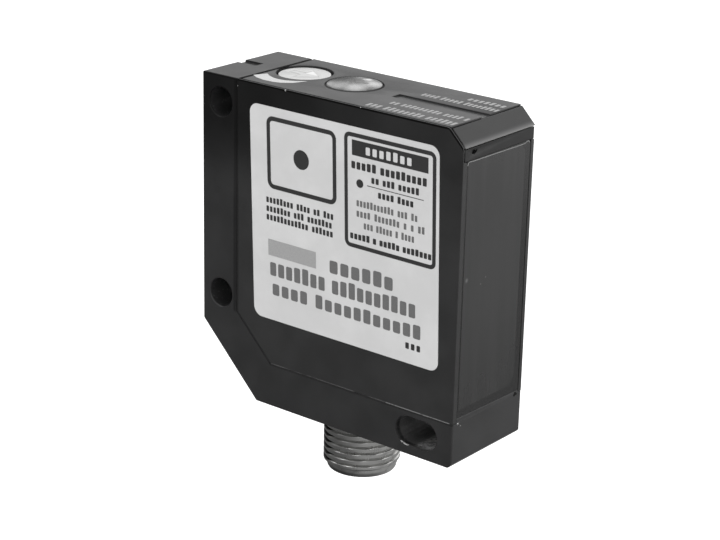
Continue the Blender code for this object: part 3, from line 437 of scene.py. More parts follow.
def plastic(name, colour, roughness=0.45, specular=0.5):
    """Moulded plastic: fine spark-eroded grain and slight cloudiness."""
    g = Graph(name)
    cloud = g.noise(3.0)
    return g.set(Base_Color=g.mix(cloud, scaled(colour, 0.9), scaled(colour, 1.1)),
                 Roughness=g.span(cloud, 0.3, 0.7, roughness - 0.04, roughness + 0.04),
                 Normal=g.bump(g.noise(0.12), 0.004, g.round_edges(0.08)), Specular_IOR_Level=specular)


def metal(name, colour, roughness, axis=None):
    """Bare or plated metal. A turned piece has fine lines across its axis."""
    g = Graph(name)
    stretch = None if axis is None else tuple(1.0 if i == axis else 0.02 for i in range(3))
    grain = g.noise(0.06, stretch=stretch)
    cloud = g.noise(2.0, 3.0)
    return g.set(Base_Color=g.mix(cloud, scaled(colour, 0.82), colour), Metallic=1.0,
                 Normal=g.bump(grain, 0.004, g.round_edges(0.05)),
                 Roughness=g.span(g.math("ADD", cloud, g.times(grain, 0.4)), 0.4, 1.0, roughness - 0.06,
                                  roughness + 0.1))


def sleeve_metal():
    """Nickel plating of the plug's sleeve, with painted shade round its end and a painted dark reflection in
    the thread at its left.
    """
    g = Graph("nickel_finish")
    cloud = g.noise(1.6, 3.0)
    grain = g.noise(0.05, stretch=(0.02, 0.02, 1.0))
    around = g.math("ARCTAN2", g.math("SUBTRACT", g.axes["Y"], along("Y", PLUG[1])),
                    g.math("SUBTRACT", g.axes["X"], along("X", PLUG[0])))
    turns = g.math("SUBTRACT", g.math("DIVIDE", g.axes["Z"], PITCH * MM),
                   g.math("DIVIDE", around, 2 * math.pi))
    turns = g.math("ADD", turns, 0.58 + (ORIGIN.z - THREAD_LOW) / PITCH + THREAD_START / 360)
    from_root = g.apart(g.math("FRACT", turns), 0.5)
    left = g.span(g.upright(PLUG[0] - 4.9, PLUG[1] - 3.4), 4.7 * MM, 2.2 * MM)
    # painted dark reflection in the thread's roots at the sleeve's left
    dark_reflection = g.span(g.math("SUBTRACT", from_root, g.times(left, 0.40)), 0.03, -0.05)
    end_shade = g.span(g.upright(PLUG[0] + 4.15, PLUG[1] + 3.3), 3.0 * MM, 6.5 * MM)
    tone = g.mix(cloud, (0.56, 0.56, 0.55), (0.66, 0.66, 0.645))
    # painted dark reflection in the thread at the left
    tone = g.lay(tone, 0.008, g.times(dark_reflection, g.ramp("Z", -8.2, -7.9)), 0.97)
    # painted shade round the sleeve's end
    tone = g.lay(tone, 0.12, g.times(g.ramp("Z", -8.2, -8.6), end_shade), 0.8)
    return g.set(Base_Color=tone, Metallic=1.0, Roughness=g.span(cloud, 0.3, 0.7, 0.26, 0.36),
                 Normal=g.bump(grain, 0.004, g.round_edges(0.05)))


def rubber(name):
    """Moulded black rubber with bloom."""
    g = Graph(name)
    return g.set(Base_Color=g.mix(g.span(g.noise(1.5, 4.0), 0.4, 0.75), 0.022, 0.045),
                 Roughness=g.span(g.noise(0.5), 0.3, 0.7, 0.65, 0.85), Normal=g.bump(g.noise(0.08), 0.003))


def laminate(name):
    """Green circuit board: glass weave under the solder mask and straight copper tracks."""
    g = Graph(name)
    weave = g.times(g.noise(0.35, 0.0, stretch=(1, 1, 0.15)), g.noise(0.35, 0.0, stretch=(0.15, 1, 1)))
    tracks = []
    for axis, period in (("X", 1.27), ("Z", 1.9), ("Y", 1.6)):
        wave = g.math("SINE", g.times(g.axes[axis], 2 * math.pi / (period * MM)))
        tracks.append(g.times(g.math("GREATER_THAN", wave, 0.86), g.span(g.noise(5.0), 0.5, 0.52)))
    copper = g.largest(*tracks)
    tone = g.lay(g.mix(weave, (0.012, 0.10, 0.035), (0.022, 0.16, 0.06)), (0.06, 0.26, 0.09), copper, 0.7)
    return g.set(Base_Color=tone, Roughness=0.38, Normal=g.bump(g.math("ADD", copper, weave), 0.02))


def epoxy(name):
    """Chip moulding with a fine matt grain."""
    g = Graph(name)
    grain = g.noise(0.07, 3.0)
    return g.set(Base_Color=g.mix(grain, (0.022, 0.022, 0.025), (0.042, 0.042, 0.046)),
                 Roughness=g.span(grain, 0.3, 0.7, 0.5, 0.62), Normal=g.bump(grain, 0.006))


def glass(name, colour):
    """Clear glass with a faint ripple."""
    g = Graph(name)
    return g.set(Base_Color=colour, Transmission_Weight=1.0, IOR=1.5, Normal=g.bump(g.noise(1.1, 1.0), 0.01),
                 Roughness=g.span(g.noise(0.4), 0.4, 0.8, 0.02, 0.05))


def film(name):
    """The label's printed film: a fine tooth and faint handling marks."""
    g = Graph(name)
    mark = g.span(g.noise(7.0, 4.0, 0.6), 0.35, 0.75)
    tone = g.lay(g.mix(mark, 0.55, 0.60), 0.30, g.specks(2.2, 0.08, 0.1), 0.5)
    return g.set(Base_Color=tone, Roughness=g.span(mark, 0, 1, 0.42, 0.5), Normal=g.bump(g.noise(0.1), 0.002))


def ink(name, level):
    """Screen print in a grey, with slightly uneven cover."""
    g = Graph(name)
    cover = g.span(g.noise(0.18, 3.0, 0.6), 0.35, 0.65)
    return g.set(Base_Color=g.mix(cover, level * 0.86, level), Roughness=0.5, Normal=g.bump(cover, 0.002))


FINISH = {
    "frame": frame_paint(),
    "cover": cover_paint(),
    "sill": sill_paint(),
    "plate": plate_paint(),
    "bezel": bezel_paint(),
    # grey plastic for the painted highlight along the pane's top edge
    "edge_highlight": plastic("edge_highlight_finish", (0.20, 0.20, 0.20), 0.3),
    "black_plastic": plastic("black_plastic_finish", (0.02, 0.02, 0.02)),
    "surround": plastic("surround_finish", (0.016, 0.016, 0.016), 0.40, specular=0.3),
    "rubber": rubber("rubber_finish"),
    "pale": plastic("pale_plastic_finish", (0.70, 0.70, 0.69), 0.42),
    "turned_x": metal("turned_aluminium_finish", ALUMINIUM, 0.3, axis=0),
    "turned_y": metal("can_aluminium_finish", ALUMINIUM, 0.28, axis=1),
    "turned_z": metal("spindle_aluminium_finish", ALUMINIUM, 0.3, axis=2),
    "nickel": sleeve_metal(),
    "gold": metal("gold_finish", (0.85, 0.62, 0.27), 0.24),
    "steel": metal("zinc_finish", (0.52, 0.52, 0.54), 0.34),
    "board": laminate("board_finish"),
    "epoxy": epoxy("epoxy_finish"),
    "glass": glass("glass_finish", (0.93, 0.97, 0.97)),
    "film": film("label_finish"),
    "ink": ink("dark_ink_finish", 0.030),
    "pale_ink": ink("pale_ink_finish", 0.66),
    "worn_ink": ink("worn_ink_finish", 0.38),
    "mid_ink": ink("mid_ink_finish", 0.14),
    "grey_ink": ink("grey_ink_finish", 0.34),
}

CAD_FINISH = {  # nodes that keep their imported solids
    "frame": ("frame",),
    "rubber": ("window_gasket", "adjuster_seal", "connector_seal"),
    "black_plastic": ("potentiometer", "contact_insert", "optics_chassis"),
    "pale": ("indicator_light",),
    "board": ("display_board", "connector_board", "main_board", "optics_board"),
    "epoxy": ("processor", "amplifier", "position_detector"),
    "turned_x": ("laser_barrel", "lens_ring"),
    "turned_y": ("capacitor_1", "capacitor_2"),
    "turned_z": ("adjuster_spindle",),
    "gold": ("laser_diode", "contact_pin_1", "contact_pin_2", "contact_pin_3", "contact_pin_4"),
    "steel": ("board_screw_1", "board_screw_2", "board_screw_3"),
    "glass": ("collimator_lens", "receiver_lens"),
}
for finish, nodes in CAD_FINISH.items():
    for node in nodes:
        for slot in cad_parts[node].material_slots:
            slot.material = FINISH[finish]

build_camera()


# Geometry

TO_SPACE = {
    "x": lambda u, v, w: (w, u, v),  # outline in Y, Z
    "y": lambda u, v, w: (u, w, v),  # outline in X, Z
    "z": lambda u, v, w: (u, v, w),  # outline in X, Y
}


def finish_mesh(name, shape):
    """Turns a bmesh in housing millimetres into a mesh in the frame's metres."""
    bmesh.ops.recalc_face_normals(shape, faces=shape.faces)
    bmesh.ops.scale(shape, vec=(MM, MM, MM), verts=shape.verts)
    bmesh.ops.translate(shape, vec=-ORIGIN * MM, verts=shape.verts)
    data = bpy.data.meshes.new(name)
    shape.to_mesh(data)
    shape.free()
    return data


def piece(name, shape, slot, finish, *replaced, body="housing"):
    """Puts a bmesh in the scene as a piece of the part."""
    data = finish_mesh(name, shape)
    made = put(name, data)
    data.materials.append(finish)
    data.shade_smooth()
    data.set_sharp_from_angle(angle=math.radians(35))
    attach(made, body)
    if replaced:
        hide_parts(*replaced)
    return made


def add_ring(shape, outline, axis, level):
    """Vertices of an outline at a level along an axis."""
    return [shape.verts.new(TO_SPACE[axis](u, v, level)) for u, v in outline]


def skin(shape, rings):
    """Quads between each ring of vertices and the next."""
    for lower, upper in zip(rings, rings[1:]):
        for i in range(len(lower)):
            j = (i + 1) % len(lower)
            shape.faces.new((lower[i], lower[j], upper[j], upper[i]))


def add_prism(shape, outline, axis, low, high, edge=0.0):
    """Closed prism of an outline between two levels; edge breaks the corners of its high face."""
    levels = [(outline, low), (outline, high)]
    if edge:
        levels[1:] = [(outline, high - math.copysign(edge, high - low)), (shrink(outline, edge), high)]
    rings = [add_ring(shape, line, axis, level) for line, level in levels]
    skin(shape, rings)
    for cap in (rings[0][::-1], rings[-1]):
        shape.faces.new(cap)


def prisms(*parts):
    """Closed prisms, each given by what add_prism takes."""
    shape = bmesh.new()
    for part in parts:
        add_prism(shape, *part)
    return shape


def add_band(shape, outline, width, axis, low, high):
    """Closed frame of a width inside an outline."""
    inner = shrink(outline, width)
    rings = [add_ring(shape, line, axis, level)
             for line, level in ((outline, low), (outline, high), (inner, high), (inner, low))]
    skin(shape, rings + rings[:1])


def add_lathe(shape, profile, centre, steps=96):
    """Closed ring or solid of (radius, z) points about a vertical axis; points at radius 0 are poles."""
    rings = [add_ring(shape, circle(centre, [radius] * steps) if radius else [centre], "z", z)
             for radius, z in profile]
    loop = list(zip(rings, rings[1:]))
    if profile[0][0] != 0:
        loop.append((rings[-1], rings[0]))
    for lower, upper in loop:
        for i in range(steps):
            j = (i + 1) % steps
            corners = [lower[i % len(lower)], lower[j % len(lower)], upper[j % len(upper)],
                       upper[i % len(upper)]]
            unique = [v for k, v in enumerate(corners) if v not in corners[:k]]
            if len(unique) > 2:
                shape.faces.new(unique)


def circle(centre, radii):
    """Points about a centre, one for each radius."""
    points = []
    for i, radius in enumerate(radii):
        angle = 2 * math.pi * i / len(radii)
        points.append((centre[0] + radius * math.cos(angle), centre[1] + radius * math.sin(angle)))
    return points


def rectangle(low_u, high_u, low_v, high_v):
    """Anticlockwise rectangle."""
    return [(low_u, low_v), (high_u, low_v), (high_u, high_v), (low_u, high_v)]


def rounded(low_u, high_u, low_v, high_v, radius, steps=8):
    """Anticlockwise rectangle with rounded corners; radius is one value or one for each corner."""
    radii = radius if isinstance(radius, tuple) else (radius,) * 4
    corners = [(high_u, low_v, -90), (high_u, high_v, 0), (low_u, high_v, 90), (low_u, low_v, 180)]
    points = []
    for (u, v, start), r in zip(corners, radii):
        if r <= 0:
            points.append((u, v))
            continue
        cu = u - math.copysign(r, u - (low_u + high_u) / 2)
        cv = v - math.copysign(r, v - (low_v + high_v) / 2)
        for step in range(steps + 1):
            angle = math.radians(start + 90 * step / steps)
            points.append((cu + r * math.cos(angle), cv + r * math.sin(angle)))
    return points


def shrink(outline, margin):
    """The outline moved inwards by a margin; it runs anticlockwise."""
    moved = []
    for i, here in enumerate(outline):
        before, after = outline[i - 1], outline[(i + 1) % len(outline)]
        one = Vector((here[0] - before[0], here[1] - before[1])).normalized()
        two = Vector((after[0] - here[0], after[1] - here[1])).normalized()
        side = Vector((-one.y - two.y, one.x + two.x))
        side = side / side.length * margin / max(0.3, math.cos(one.angle(two) / 2))
        moved.append((here[0] + side.x, here[1] + side.y))
    return moved


def fillet(corners, steps=6):
    """Anticlockwise outline of (u, v, radius) corners."""
    points = []
    for i, (u, v, radius) in enumerate(corners):
        if radius == 0:
            points.append((u, v))
            continue
        here = Vector((u, v))
        before = (Vector(corners[i - 1][:2]) - here).normalized()
        after = (Vector(corners[(i + 1) % len(corners)][:2]) - here).normalized()
        half = before.angle(after) / 2
        middle = here + (before + after).normalized() * radius / math.sin(half)
        start = here + before * radius / math.tan(half) - middle
        turn = (math.pi - 2 * half) / steps
        for step in range(steps + 1):
            c, s = math.cos(turn * step), math.sin(turn * step)
            points.append((middle.x + start.x * c - start.y * s, middle.y + start.x * s + start.y * c))
    return points


def ribbon(line, width):
    """Outline of a band of a width along an open line."""
    one, two = [], []
    for i, here in enumerate(line):
        before, after = Vector(line[max(0, i - 1)]), Vector(line[min(len(line) - 1, i + 1)])
        ahead = (after - before).normalized()
        side = Vector((-ahead.y, ahead.x)) * width / 2
        one.append((here[0] - side.x, here[1] - side.y))
        two.append((here[0] + side.x, here[1] + side.y))
    return one + two[::-1]


def soften(made, width, angle=40):
    """Breaks a piece's edges that are sharper than an angle, and makes the result its own mesh."""
    soft = made.modifiers.new("edges", "BEVEL")
    soft.width, soft.segments, soft.limit_method = width * MM, 2, "ANGLE"
    soft.angle_limit = math.radians(angle)
    graph = bpy.context.evaluated_depsgraph_get()
    data = bpy.data.meshes.new_from_object(made.evaluated_get(graph))
    made.modifiers.clear()
    made.data = data


def carve(made, cutters, edge):
    """Cuts closed shapes out of a piece and breaks its sharp edges."""
    data = bpy.data.meshes.new("cutter")
    merged = bmesh.new()
    for cutter in cutters:
        merged.from_mesh(finish_mesh("cutter", cutter))
    merged.to_mesh(data)
    merged.free()
    tool = put("cutter", data)
    cut = made.modifiers.new("cut", "BOOLEAN")
    cut.object, cut.operation, cut.solver = tool, "DIFFERENCE", "EXACT"
    soften(made, edge, 50)
    bpy.data.objects.remove(tool)


# Connector sleeve with its helical thread

SLEEVE_STEPS, SLEEVE_ROWS = 144, 108
FLANKS = (0.15, 0.26)  # shares of the pitch that the ridge rises and falls in
RUN_OUT = 0.45  # share of a turn in which the thread grows to its full height
FADE = (0.1, 0.4)  # gap over the thread's top end, and the height that it fades out in
# Radii and heights of the plain ring at the sleeve's end, and of its body with the seal's groove and its bore
END_RING = ((4.2, -8.97), (4.28, -9.05), (5.05, -9.05), (5.2, -8.99), (5.3, -8.85), (5.3, -8.25))
SLEEVE_BODY = ((6.5, 0.6), (6.5, 3.2), (5.2, 3.2), (5.2, 4.8), (6.5, 4.8), (6.5, 8.35), (7.4, 8.35),
               (7.4, 9.65), (4.7, 9.65), (4.7, -0.65), (4.2, -0.65))


def within(value):
    """The value kept between 0 and 1."""
    return min(1.0, max(0.0, value))


def thread_radius(angle, z):
    """Radius of the thread's surface at an angle and height: flat crest, rounded root."""
    turns = (z - THREAD_LOW) / PITCH - (math.degrees(angle) - THREAD_START) / 360 % 1.0
    share = turns % 1.0
    ridge = within(min(share / FLANKS[0], (1.0 - share) / FLANKS[1]))
    ridge = ridge * ridge * (3 - 2 * ridge)
    grown = within((turns + FLANKS[0]) / RUN_OUT) * within((THREAD_HIGH - FADE[0] - z) / FADE[1])
    return ROOT + (CREST - ROOT) * ridge * grown


def build_sleeve():
    """Flanged shell with a helical thread, a plain ring at its end and the socket's bore."""
    shape = bmesh.new()
    rings = [add_ring(shape, circle(PLUG, [r] * SLEEVE_STEPS), "z", z) for r, z in END_RING]
    for row in range(SLEEVE_ROWS + 1):
        z = THREAD_LOW + (THREAD_HIGH - THREAD_LOW) * row / SLEEVE_ROWS
        radii = [thread_radius(2 * math.pi * i / SLEEVE_STEPS, z) for i in range(SLEEVE_STEPS)]
        rings.append(add_ring(shape, circle(PLUG, radii), "z", z))
    rings += [add_ring(shape, circle(PLUG, [r] * SLEEVE_STEPS), "z", z) for r, z in SLEEVE_BODY]
    skin(shape, rings + rings[:1])
    piece("plug_sleeve", shape, "nickel_brass", FINISH["nickel"], "connector_shell")


# Outer shells, whose visible joints are finer than the plain solids' clearances

COVER_LIP = (7.45, TOP_Z - 0.4)  # inner edge and underside of the cover's far rim
DIAL_HOLE, LENS_HOLE, LENS_SEAT = 4.3, 4.22, 4.9  # radii of the cover's holes and of the flange's seat
SURROUND_RING = (-7.4, 7.4, 7.2, STRIP[1] - 0.1, 0.6)  # edges and corners of the surround behind the pane
RING_WIDTH, RING_FRONT = 2.0, 46.05
# Section of the far rims' steps, which close the joints across the top at the far side
FAR_RIM = rectangle(FAR_Y - 0.6, FAR_Y - 0.002, TOP_Z - 0.46, TOP_Z - 0.2)
PIT = ((-6.5, 46.4), (-5.9, 46.2), (-5.3, 46.45), (-5.15, 46.8), (-5.7, 46.7), (-5.95, 46.95), (-6.35, 46.8))


def build_plates():
    """Side plates: the near one under the label, the far one behind the top parts' rims."""
    slope = [(FRONT_X, TOP_Z - NOSE, 1.2), (FRONT_X - NOSE, TOP_Z, 1.2)]
    low = [(PLATE_X, HEEL, 0), (HEEL, PLATE_LOW, 0), (FRONT_X, PLATE_LOW, 0.1)]
    inner, under = NEAR_Y + RIM, PANE[3] + 0.04
    shape = prisms((fillet(low + slope + [(PLATE_X, TOP_Z, 0.15)]), "y", inner, NEAR_Y, 0.03),
                   (fillet(low + [(FRONT_X, under, 0), (PLATE_X, under, 0)]), "y", NEAR_Y + WALL, inner))
    piece("plate_near", shape, "side_plate", FINISH["plate"], "cover_near")
    step, top = BEZEL_BACK - JOINT, TOP_Z - 0.48
    corners = low + [(FRONT_X, PANE[3], 0.1), (step, PANE[3], 0.1), (step, top, 0.1), (PLATE_X, top, 0.1)]
    shape = prisms((fillet(corners), "y", FAR_Y - WALL, FAR_Y, 0.07))
    piece("plate_far", shape, "side_plate", FINISH["plate"], "cover_far")


def disc(centre, radius, low, high):
    """Closed upright cylinder."""
    shape = bmesh.new()
    add_lathe(shape, [(0, low), (radius, low), (radius, high), (0, high)], centre)
    return shape


def build_cover():
    """Top wall with its holes and the sight groove; its far rim laps over the plate."""
    inner, under = COVER_LIP
    section = [(TOP_NEAR, COVER_UNDER), (inner, COVER_UNDER), (inner, under), (FAR_Y, under), (FAR_Y, TOP_Z),
               (TOP_NEAR, TOP_Z)]
    shape = prisms((section, "x", *COVER), (FAR_RIM, "x", PLATE_X + 0.05, COVER[0] + 0.1))
    made = piece("cover_skin", shape, "cast_metal", FINISH["cover"], "top_cover")
    below, above = 47.0, TOP_Z + 1
    carve(made, [disc(DIAL, DIAL_HOLE, below, above), disc(LENS, LENS_HOLE, TOP_Z - 0.9, above),
                 disc(LENS, LENS_SEAT, below, TOP_Z - 0.8),
                 prisms((rectangle(*GROOVE), "z", TOP_Z - GROOVE_DEPTH, above))], 0.06)


def build_nose():
    """Bezel bar with its slope, and the window's surround with a pit in it."""
    section = [(BEZEL_BACK, BEZEL_LOW), (FRONT_X, BEZEL_LOW), (FRONT_X, TOP_Z - NOSE),
               (BEZEL_BACK, TOP_Z - (BEZEL_BACK - (FRONT_X - NOSE)))]
    shape = prisms((section, "y", TOP_NEAR, FAR_Y), (FAR_RIM, "x", COVER[1] + 0.05, BEZEL_BACK + 0.1))
    made = piece("bezel_bar", shape, "cast_metal", FINISH["bezel"], "front_bezel")
    soften(made, 0.08)
    back, low, high = STRIP
    far = FAR_Y - WALL - 0.1
    strip = [(back, TOP_NEAR), (STRIP_FRONT, TOP_NEAR), (STRIP_FRONT, FAR_Y), (BEZEL_BACK, FAR_Y),
             (BEZEL_BACK, far), (back, far)]
    shape = prisms((strip, "z", low, high))
    add_band(shape, rounded(*SURROUND_RING), RING_WIDTH, "x", back, RING_FRONT)
    made = piece("window_surround", shape, "black_plastic", FINISH["surround"], "front_carrier")
    carve(made, [prisms((PIT, "x", 47.4, 49.0))], 0.07)


# Window: a dark slab with a sheet behind it, on a painted sill

CLEAR = (("Y", -1.3, 7.75), ("Z", 27.0, 18.3))  # middle and half size of the pane's clear area
CLEAR_ROUND = 1.9
PANE_SPECKS = (((FRONT_X, -6.48, 28.1), 0.5), ((FRONT_X, -1.91, 27.45), 0.2), ((FRONT_X, -3.06, 26.7), 0.2))
# line of the painted highlight along the pane's top edge
PANE_EDGE_HIGHLIGHT = ((-7.38, 44.85), (-7.25, 45.2), (-6.9, 45.33), (-5.8, 45.28), (5.6, 45.16), (6.3, 45.22),
        (6.75, 45.38), (7.2, 45.38), (7.42, 45.1))
SILL_TOP, SILL_BACK = (7.62, 7.24), 46.9  # top at the near and the far end, and back


def clear_area(g):
    """Mask of the pane's clear area, which has round corners."""
    squares = []
    for axis, middle, half in CLEAR:
        off = g.apart(g.axes[axis], along(axis, middle))
        off = g.largest(g.math("SUBTRACT", off, (half - CLEAR_ROUND) * MM), 0.0)
        squares.append(g.times(off, off))
    off = g.math("SQRT", g.math("ADD", *squares))
    return g.span(off, (CLEAR_ROUND + 0.12) * MM, (CLEAR_ROUND - 0.12) * MM)


def window_glass():
    """Dark filter slab: a slightly lighter clear area inside a black border, with faint streaks and dust."""
    g = Graph("window_pane_finish")
    streak = g.noise(1.6, 3.0, stretch=(1.0, 1.0, 0.08))
    inner = g.mix(g.span(streak, 0.35, 0.75), 0.027, 0.033)
    inner = g.lay(inner, 0.044, g.spot((FRONT_X, 0.0, 27.0), 20.0), 0.8)
    tone = g.mix(clear_area(g), 0.019, inner)
    tone = g.mix(g.block((FRONT_X - 1, -7.4, 8.6), (FRONT_X + 1, -7.25, 45.0), 0.08), tone, 0.006)
    for speck in PANE_SPECKS:
        tone = g.lay(tone, 0.3, g.spot(*speck), 0.3)
    wipe = g.span(g.noise(9.0, 4.0, 0.65, stretch=(1, 1, 0.35)), 0.42, 0.8)
    return g.set(Base_Color=tone, Roughness=g.span(wipe, 0, 1, 0.14, 0.2),
                 Normal=g.bump(g.noise(4.0, 1.0), 0.004))


def window_filter():
    """Plain dark sheet behind the pane."""
    g = Graph("window_filter_finish")
    return g.set(Base_Color=g.mix(g.noise(0.8), 0.010, 0.016), Roughness=0.45)


def build_window():
    """Pane and the sheet behind it, a lighter strip along its top edge that paints the highlight there and
    turns down at both ends, and the sill.
    """
    outline = rounded(*PANE, (0.0, 0.6, 0.6, 0.0))
    shape = prisms((outline, "x", PANE_BACK + 0.15, PANE_FACE, 0.05))
    piece("window_pane", shape, "dark_filter", window_glass(), "front_window")
    shape = prisms((shrink(outline, 0.02), "x", PANE_BACK, PANE_BACK + 0.1))
    piece("window_filter", shape, "dark_filter", window_filter())
    # lighter strip that paints the highlight along the pane's top edge
    shape = prisms((ribbon(PANE_EDGE_HIGHLIGHT, 0.13), "x", PANE_FACE - 0.1, FRONT_X, 0.03))
    piece("pane_edge_highlight", shape, "black_plastic", FINISH["edge_highlight"])
    near, far = PANE[:2]
    face = FRONT_X - 0.002
    sill = [(near, PLATE_LOW), (far, PLATE_LOW), (far, SILL_TOP[1]), (near, SILL_TOP[0])]
    edge = rectangle(near, far, PLATE_LOW - 0.24, PLATE_LOW + 0.1)  # fills the frame's rounded edge
    shape = prisms((sill, "x", SILL_BACK, face, 0.1), (edge, "x", FRONT_X - 0.2, face + 0.001))
    piece("window_sill", shape, "cast_metal", FINISH["sill"])


# Adjuster disc with its arrow slot, and the indicator's lens

ARROW = (-2.6, -0.3, 2.8)  # tail, neck and tip from the disc's axis
ARROW_HEAD, ARROW_SHAFT, ARROW_DEPTH = 2.3, 0.65, 0.05  # half widths, and depth
LENS_REFLECTIONS_AND_SHADE = (  # place on the lens, radius and tone of painted reflections and shade
    ((18.8, 1.4, 50.2), 3.8, 0.0), ((21.2, 1.2, 50.3), 2.4, 0.02), ((20.2, 3.9, 50.1), 1.0, 0.30),
    ((21.8, 3.5, 50.2), 1.1, 0.75), ((23.8, 2.2, 50.1), 2.0, 0.46), ((18.4, -2.0, 50.1), 1.6, 0.34),
    ((20.6, -2.0, 50.1), 1.6, 0.26), ((23.2, -1.2, 50.2), 2.2, 0.42), ((22.9, 1.5, 50.3), 0.9, 0.03),
)


def dial_finish():
    """Pale moulded plastic with fine scuffs from the screwdriver, a painted highlight in the arrow's head and
    a painted shadow by its tail.
    """
    g = Graph("dial_finish")
    scuff = g.span(g.noise(0.35, 4.0, 0.7, stretch=(0.3, 1.0, 1.0)), 0.55, 0.72)
    tone = g.lay((0.60, 0.60, 0.595), (0.46, 0.46, 0.45), scuff, 0.35)
    low, floor = DIAL_TOP - 0.3, DIAL_TOP - ARROW_DEPTH * 0.7
    head = g.block((DIAL[0] + ARROW[1] + 0.1, DIAL[1] + 0.5, low), (20.0, 5.0, floor), 0.02)
    # painted highlight in the arrow's head
    tone = g.mix(head, tone, (0.82, 0.82, 0.815))
    # painted shadow by the arrow's tail
    tone = g.mix(g.block((9.4, 0.5, low), (10.9, 0.7, DIAL_TOP + 0.1), 0.15), tone, 0.36)
    return g.set(Base_Color=tone, Roughness=g.span(scuff, 0, 1, 0.38, 0.55),
                 Normal=g.bump(g.noise(0.3, 3.0), 0.006))


def build_disc():
    """Disc on its hub, with the spindle's blind bore and the arrow slot."""
    radius, thick, hub, hub_length, bore, grip = 3.95, 1.15, 1.6, 2.4, 1.2, 2.0
    top, under = DIAL_TOP, DIAL_TOP - thick
    end = under - hub_length
    shape = bmesh.new()
    add_lathe(shape, [(0, top), (radius - 0.2, top), (radius - 0.06, top - 0.05), (radius, top - 0.18),
                      (radius, under), (hub, under), (hub, end), (bore, end), (bore, end + grip),
                      (0, end + grip)], DIAL)
    made = piece("adjuster_disc", shape, "pale_plastic", dial_finish(), "adjuster_dial", body="adjuster")
    tail, neck, tip = ARROW
    head, shaft = ARROW_HEAD, ARROW_SHAFT
    arrow = [(DIAL[0] + u, DIAL[1] + v) for u, v in (
        (tail, -shaft), (neck, -shaft), (neck, -head), (tip, 0), (neck, head), (neck, shaft), (tail, shaft))]
    carve(made, [prisms((arrow, "z", top - ARROW_DEPTH, top + 1.0))], 0.02)


def lens_finish():
    """Clear moulded lens over a pale reflector, with ripples, and blotches of painted reflections and shade.
    """
    g = Graph("signal_lens_finish")
    ripple = g.noise(1.6, 3.0, 0.65)
    fine = g.noise(0.5, 3.0)
    tone = g.mix(g.span(ripple, 0.3, 0.7), 0.12, 0.24)
    # painted reflections and shade on the lens
    for place, radius, value in LENS_REFLECTIONS_AND_SHADE:
        mask = g.math("MULTIPLY", g.spot(place, radius), g.span(fine, 0.2, 0.7, 0.85, 1.3), clamp=True)
        tone = g.mix(mask, tone, value)
    return g.set(Base_Color=tone, Specular_IOR_Level=0.35, Roughness=g.span(fine, 0.3, 0.7, 0.16, 0.32),
                 Normal=g.bump(g.math("ADD", ripple, g.times(fine, 0.25)), 0.06))


def build_lens():
    """Domed lens of the light guide, with its flange and stem."""
    radius, rim, rise, steps = 4.1, TOP_Z - 0.10, 0.45, 12
    profile = []
    for step in range(steps + 1):
        share = math.sin(math.pi / 2 * step / steps)
        profile.append((radius * share, rim + rise * math.sqrt(max(0.0, 1 - share * share))))
    flange, top, low, stem, end = 4.8, 48.1, 47.2, 2.2, 44.15
    profile += [(radius, top), (flange, top), (flange, low), (stem, low), (stem, end), (0, end)]
    shape = bmesh.new()
    add_lathe(shape, profile, LENS)
    piece("signal_lens", shape, "clear_plastic", lens_finish(), "light_guide")


# Label with generic print, and the marks on the top cover

PRINT = 0.02  # thickness of a printed layer
PRINT_LOW = LABEL_FACE + PRINT - 0.002
# Edges of the framed fields, their corners' radius and their line's width
FIELDS = (((13.2, 26.3, 34.7, 45.6), 1.2, 0.66), ((27.8, 44.05, 29.2, 46.1), 1.0, 0.6))
DOTS = ((19.75, 40.15, 1.45), (30.6, 38.9, 0.62))
LINE = (31.9, 41.9, 38.82, 38.92)
HEADING = (29.2, 42.7, 42.85, 45.1)
TINT = (13.1, 22.3, 24.3, 26.8)
# Rows of print: left end, bottom, height, glyphs of each word, pitch, space between words, ink's share
BOLD_ROWS = (
    (12.9, 32.42, 1.00, (8, 4, 2, 3), 0.665, 0.55, 0.68), (12.9, 31.05, 1.00, (7, 3, 7), 0.68, 0.55, 0.68),
    (12.9, 29.75, 1.00, (12, 6), 0.68, 0.6, 0.68),
    (29.1, 40.92, 1.25, (5, 9), 0.93, 0.55, 0.72), (32.7, 39.38, 1.00, (2, 3, 5), 0.76, 0.5, 0.70),
    (33.9, 37.45, 1.00, (4, 4), 0.74, 0.5, 0.70), (28.8, 30.50, 1.00, (5, 1, 5, 7), 0.74, 0.45, 0.74),
    (38.8, 16.35, 1.10, (3,), 1.00, 0.5, 0.62),
)
LIGHT_ROWS = (
    (30.0, 35.50, 1.05, (11, 3, 2), 0.62, 0.55, 0.66), (30.0, 33.95, 1.05, (4, 7, 1, 1, 2), 0.66, 0.6, 0.66),
    (31.3, 32.35, 1.05, (3, 5, 1, 4), 0.60, 0.45, 0.66), (24.9, 24.30, 2.30, (6,), 2.02, 1.0, 0.74),
    (13.4, 21.20, 2.45, (7, 10), 1.56, 1.0, 0.74), (13.8, 18.20, 2.10, (4, 11), 1.80, 1.15, 0.72),
)
HEADING_ROW = (31.7, 43.30, 1.35, (7,), 1.22, 0, 0.62)
TOP_ROWS = (  # on the cover, in X and Y
    (38.6, 4.85, 1.35, (7,), 0.94, 0.0, 0.6), (32.2, 2.4, 1.5, (4, 5, 8), 0.74, 0.4, 0.6),
    (31.7, -4.3, 1.5, (2, 9, 4, 1), 0.77, 0.45, 0.6), (29.8, -7.3, 1.7, (3, 8, 6), 0.86, 0.5, 0.6),
)
GLYPH_HEIGHTS = (1.0, 0.84, 0.84, 0.93, 0.84)
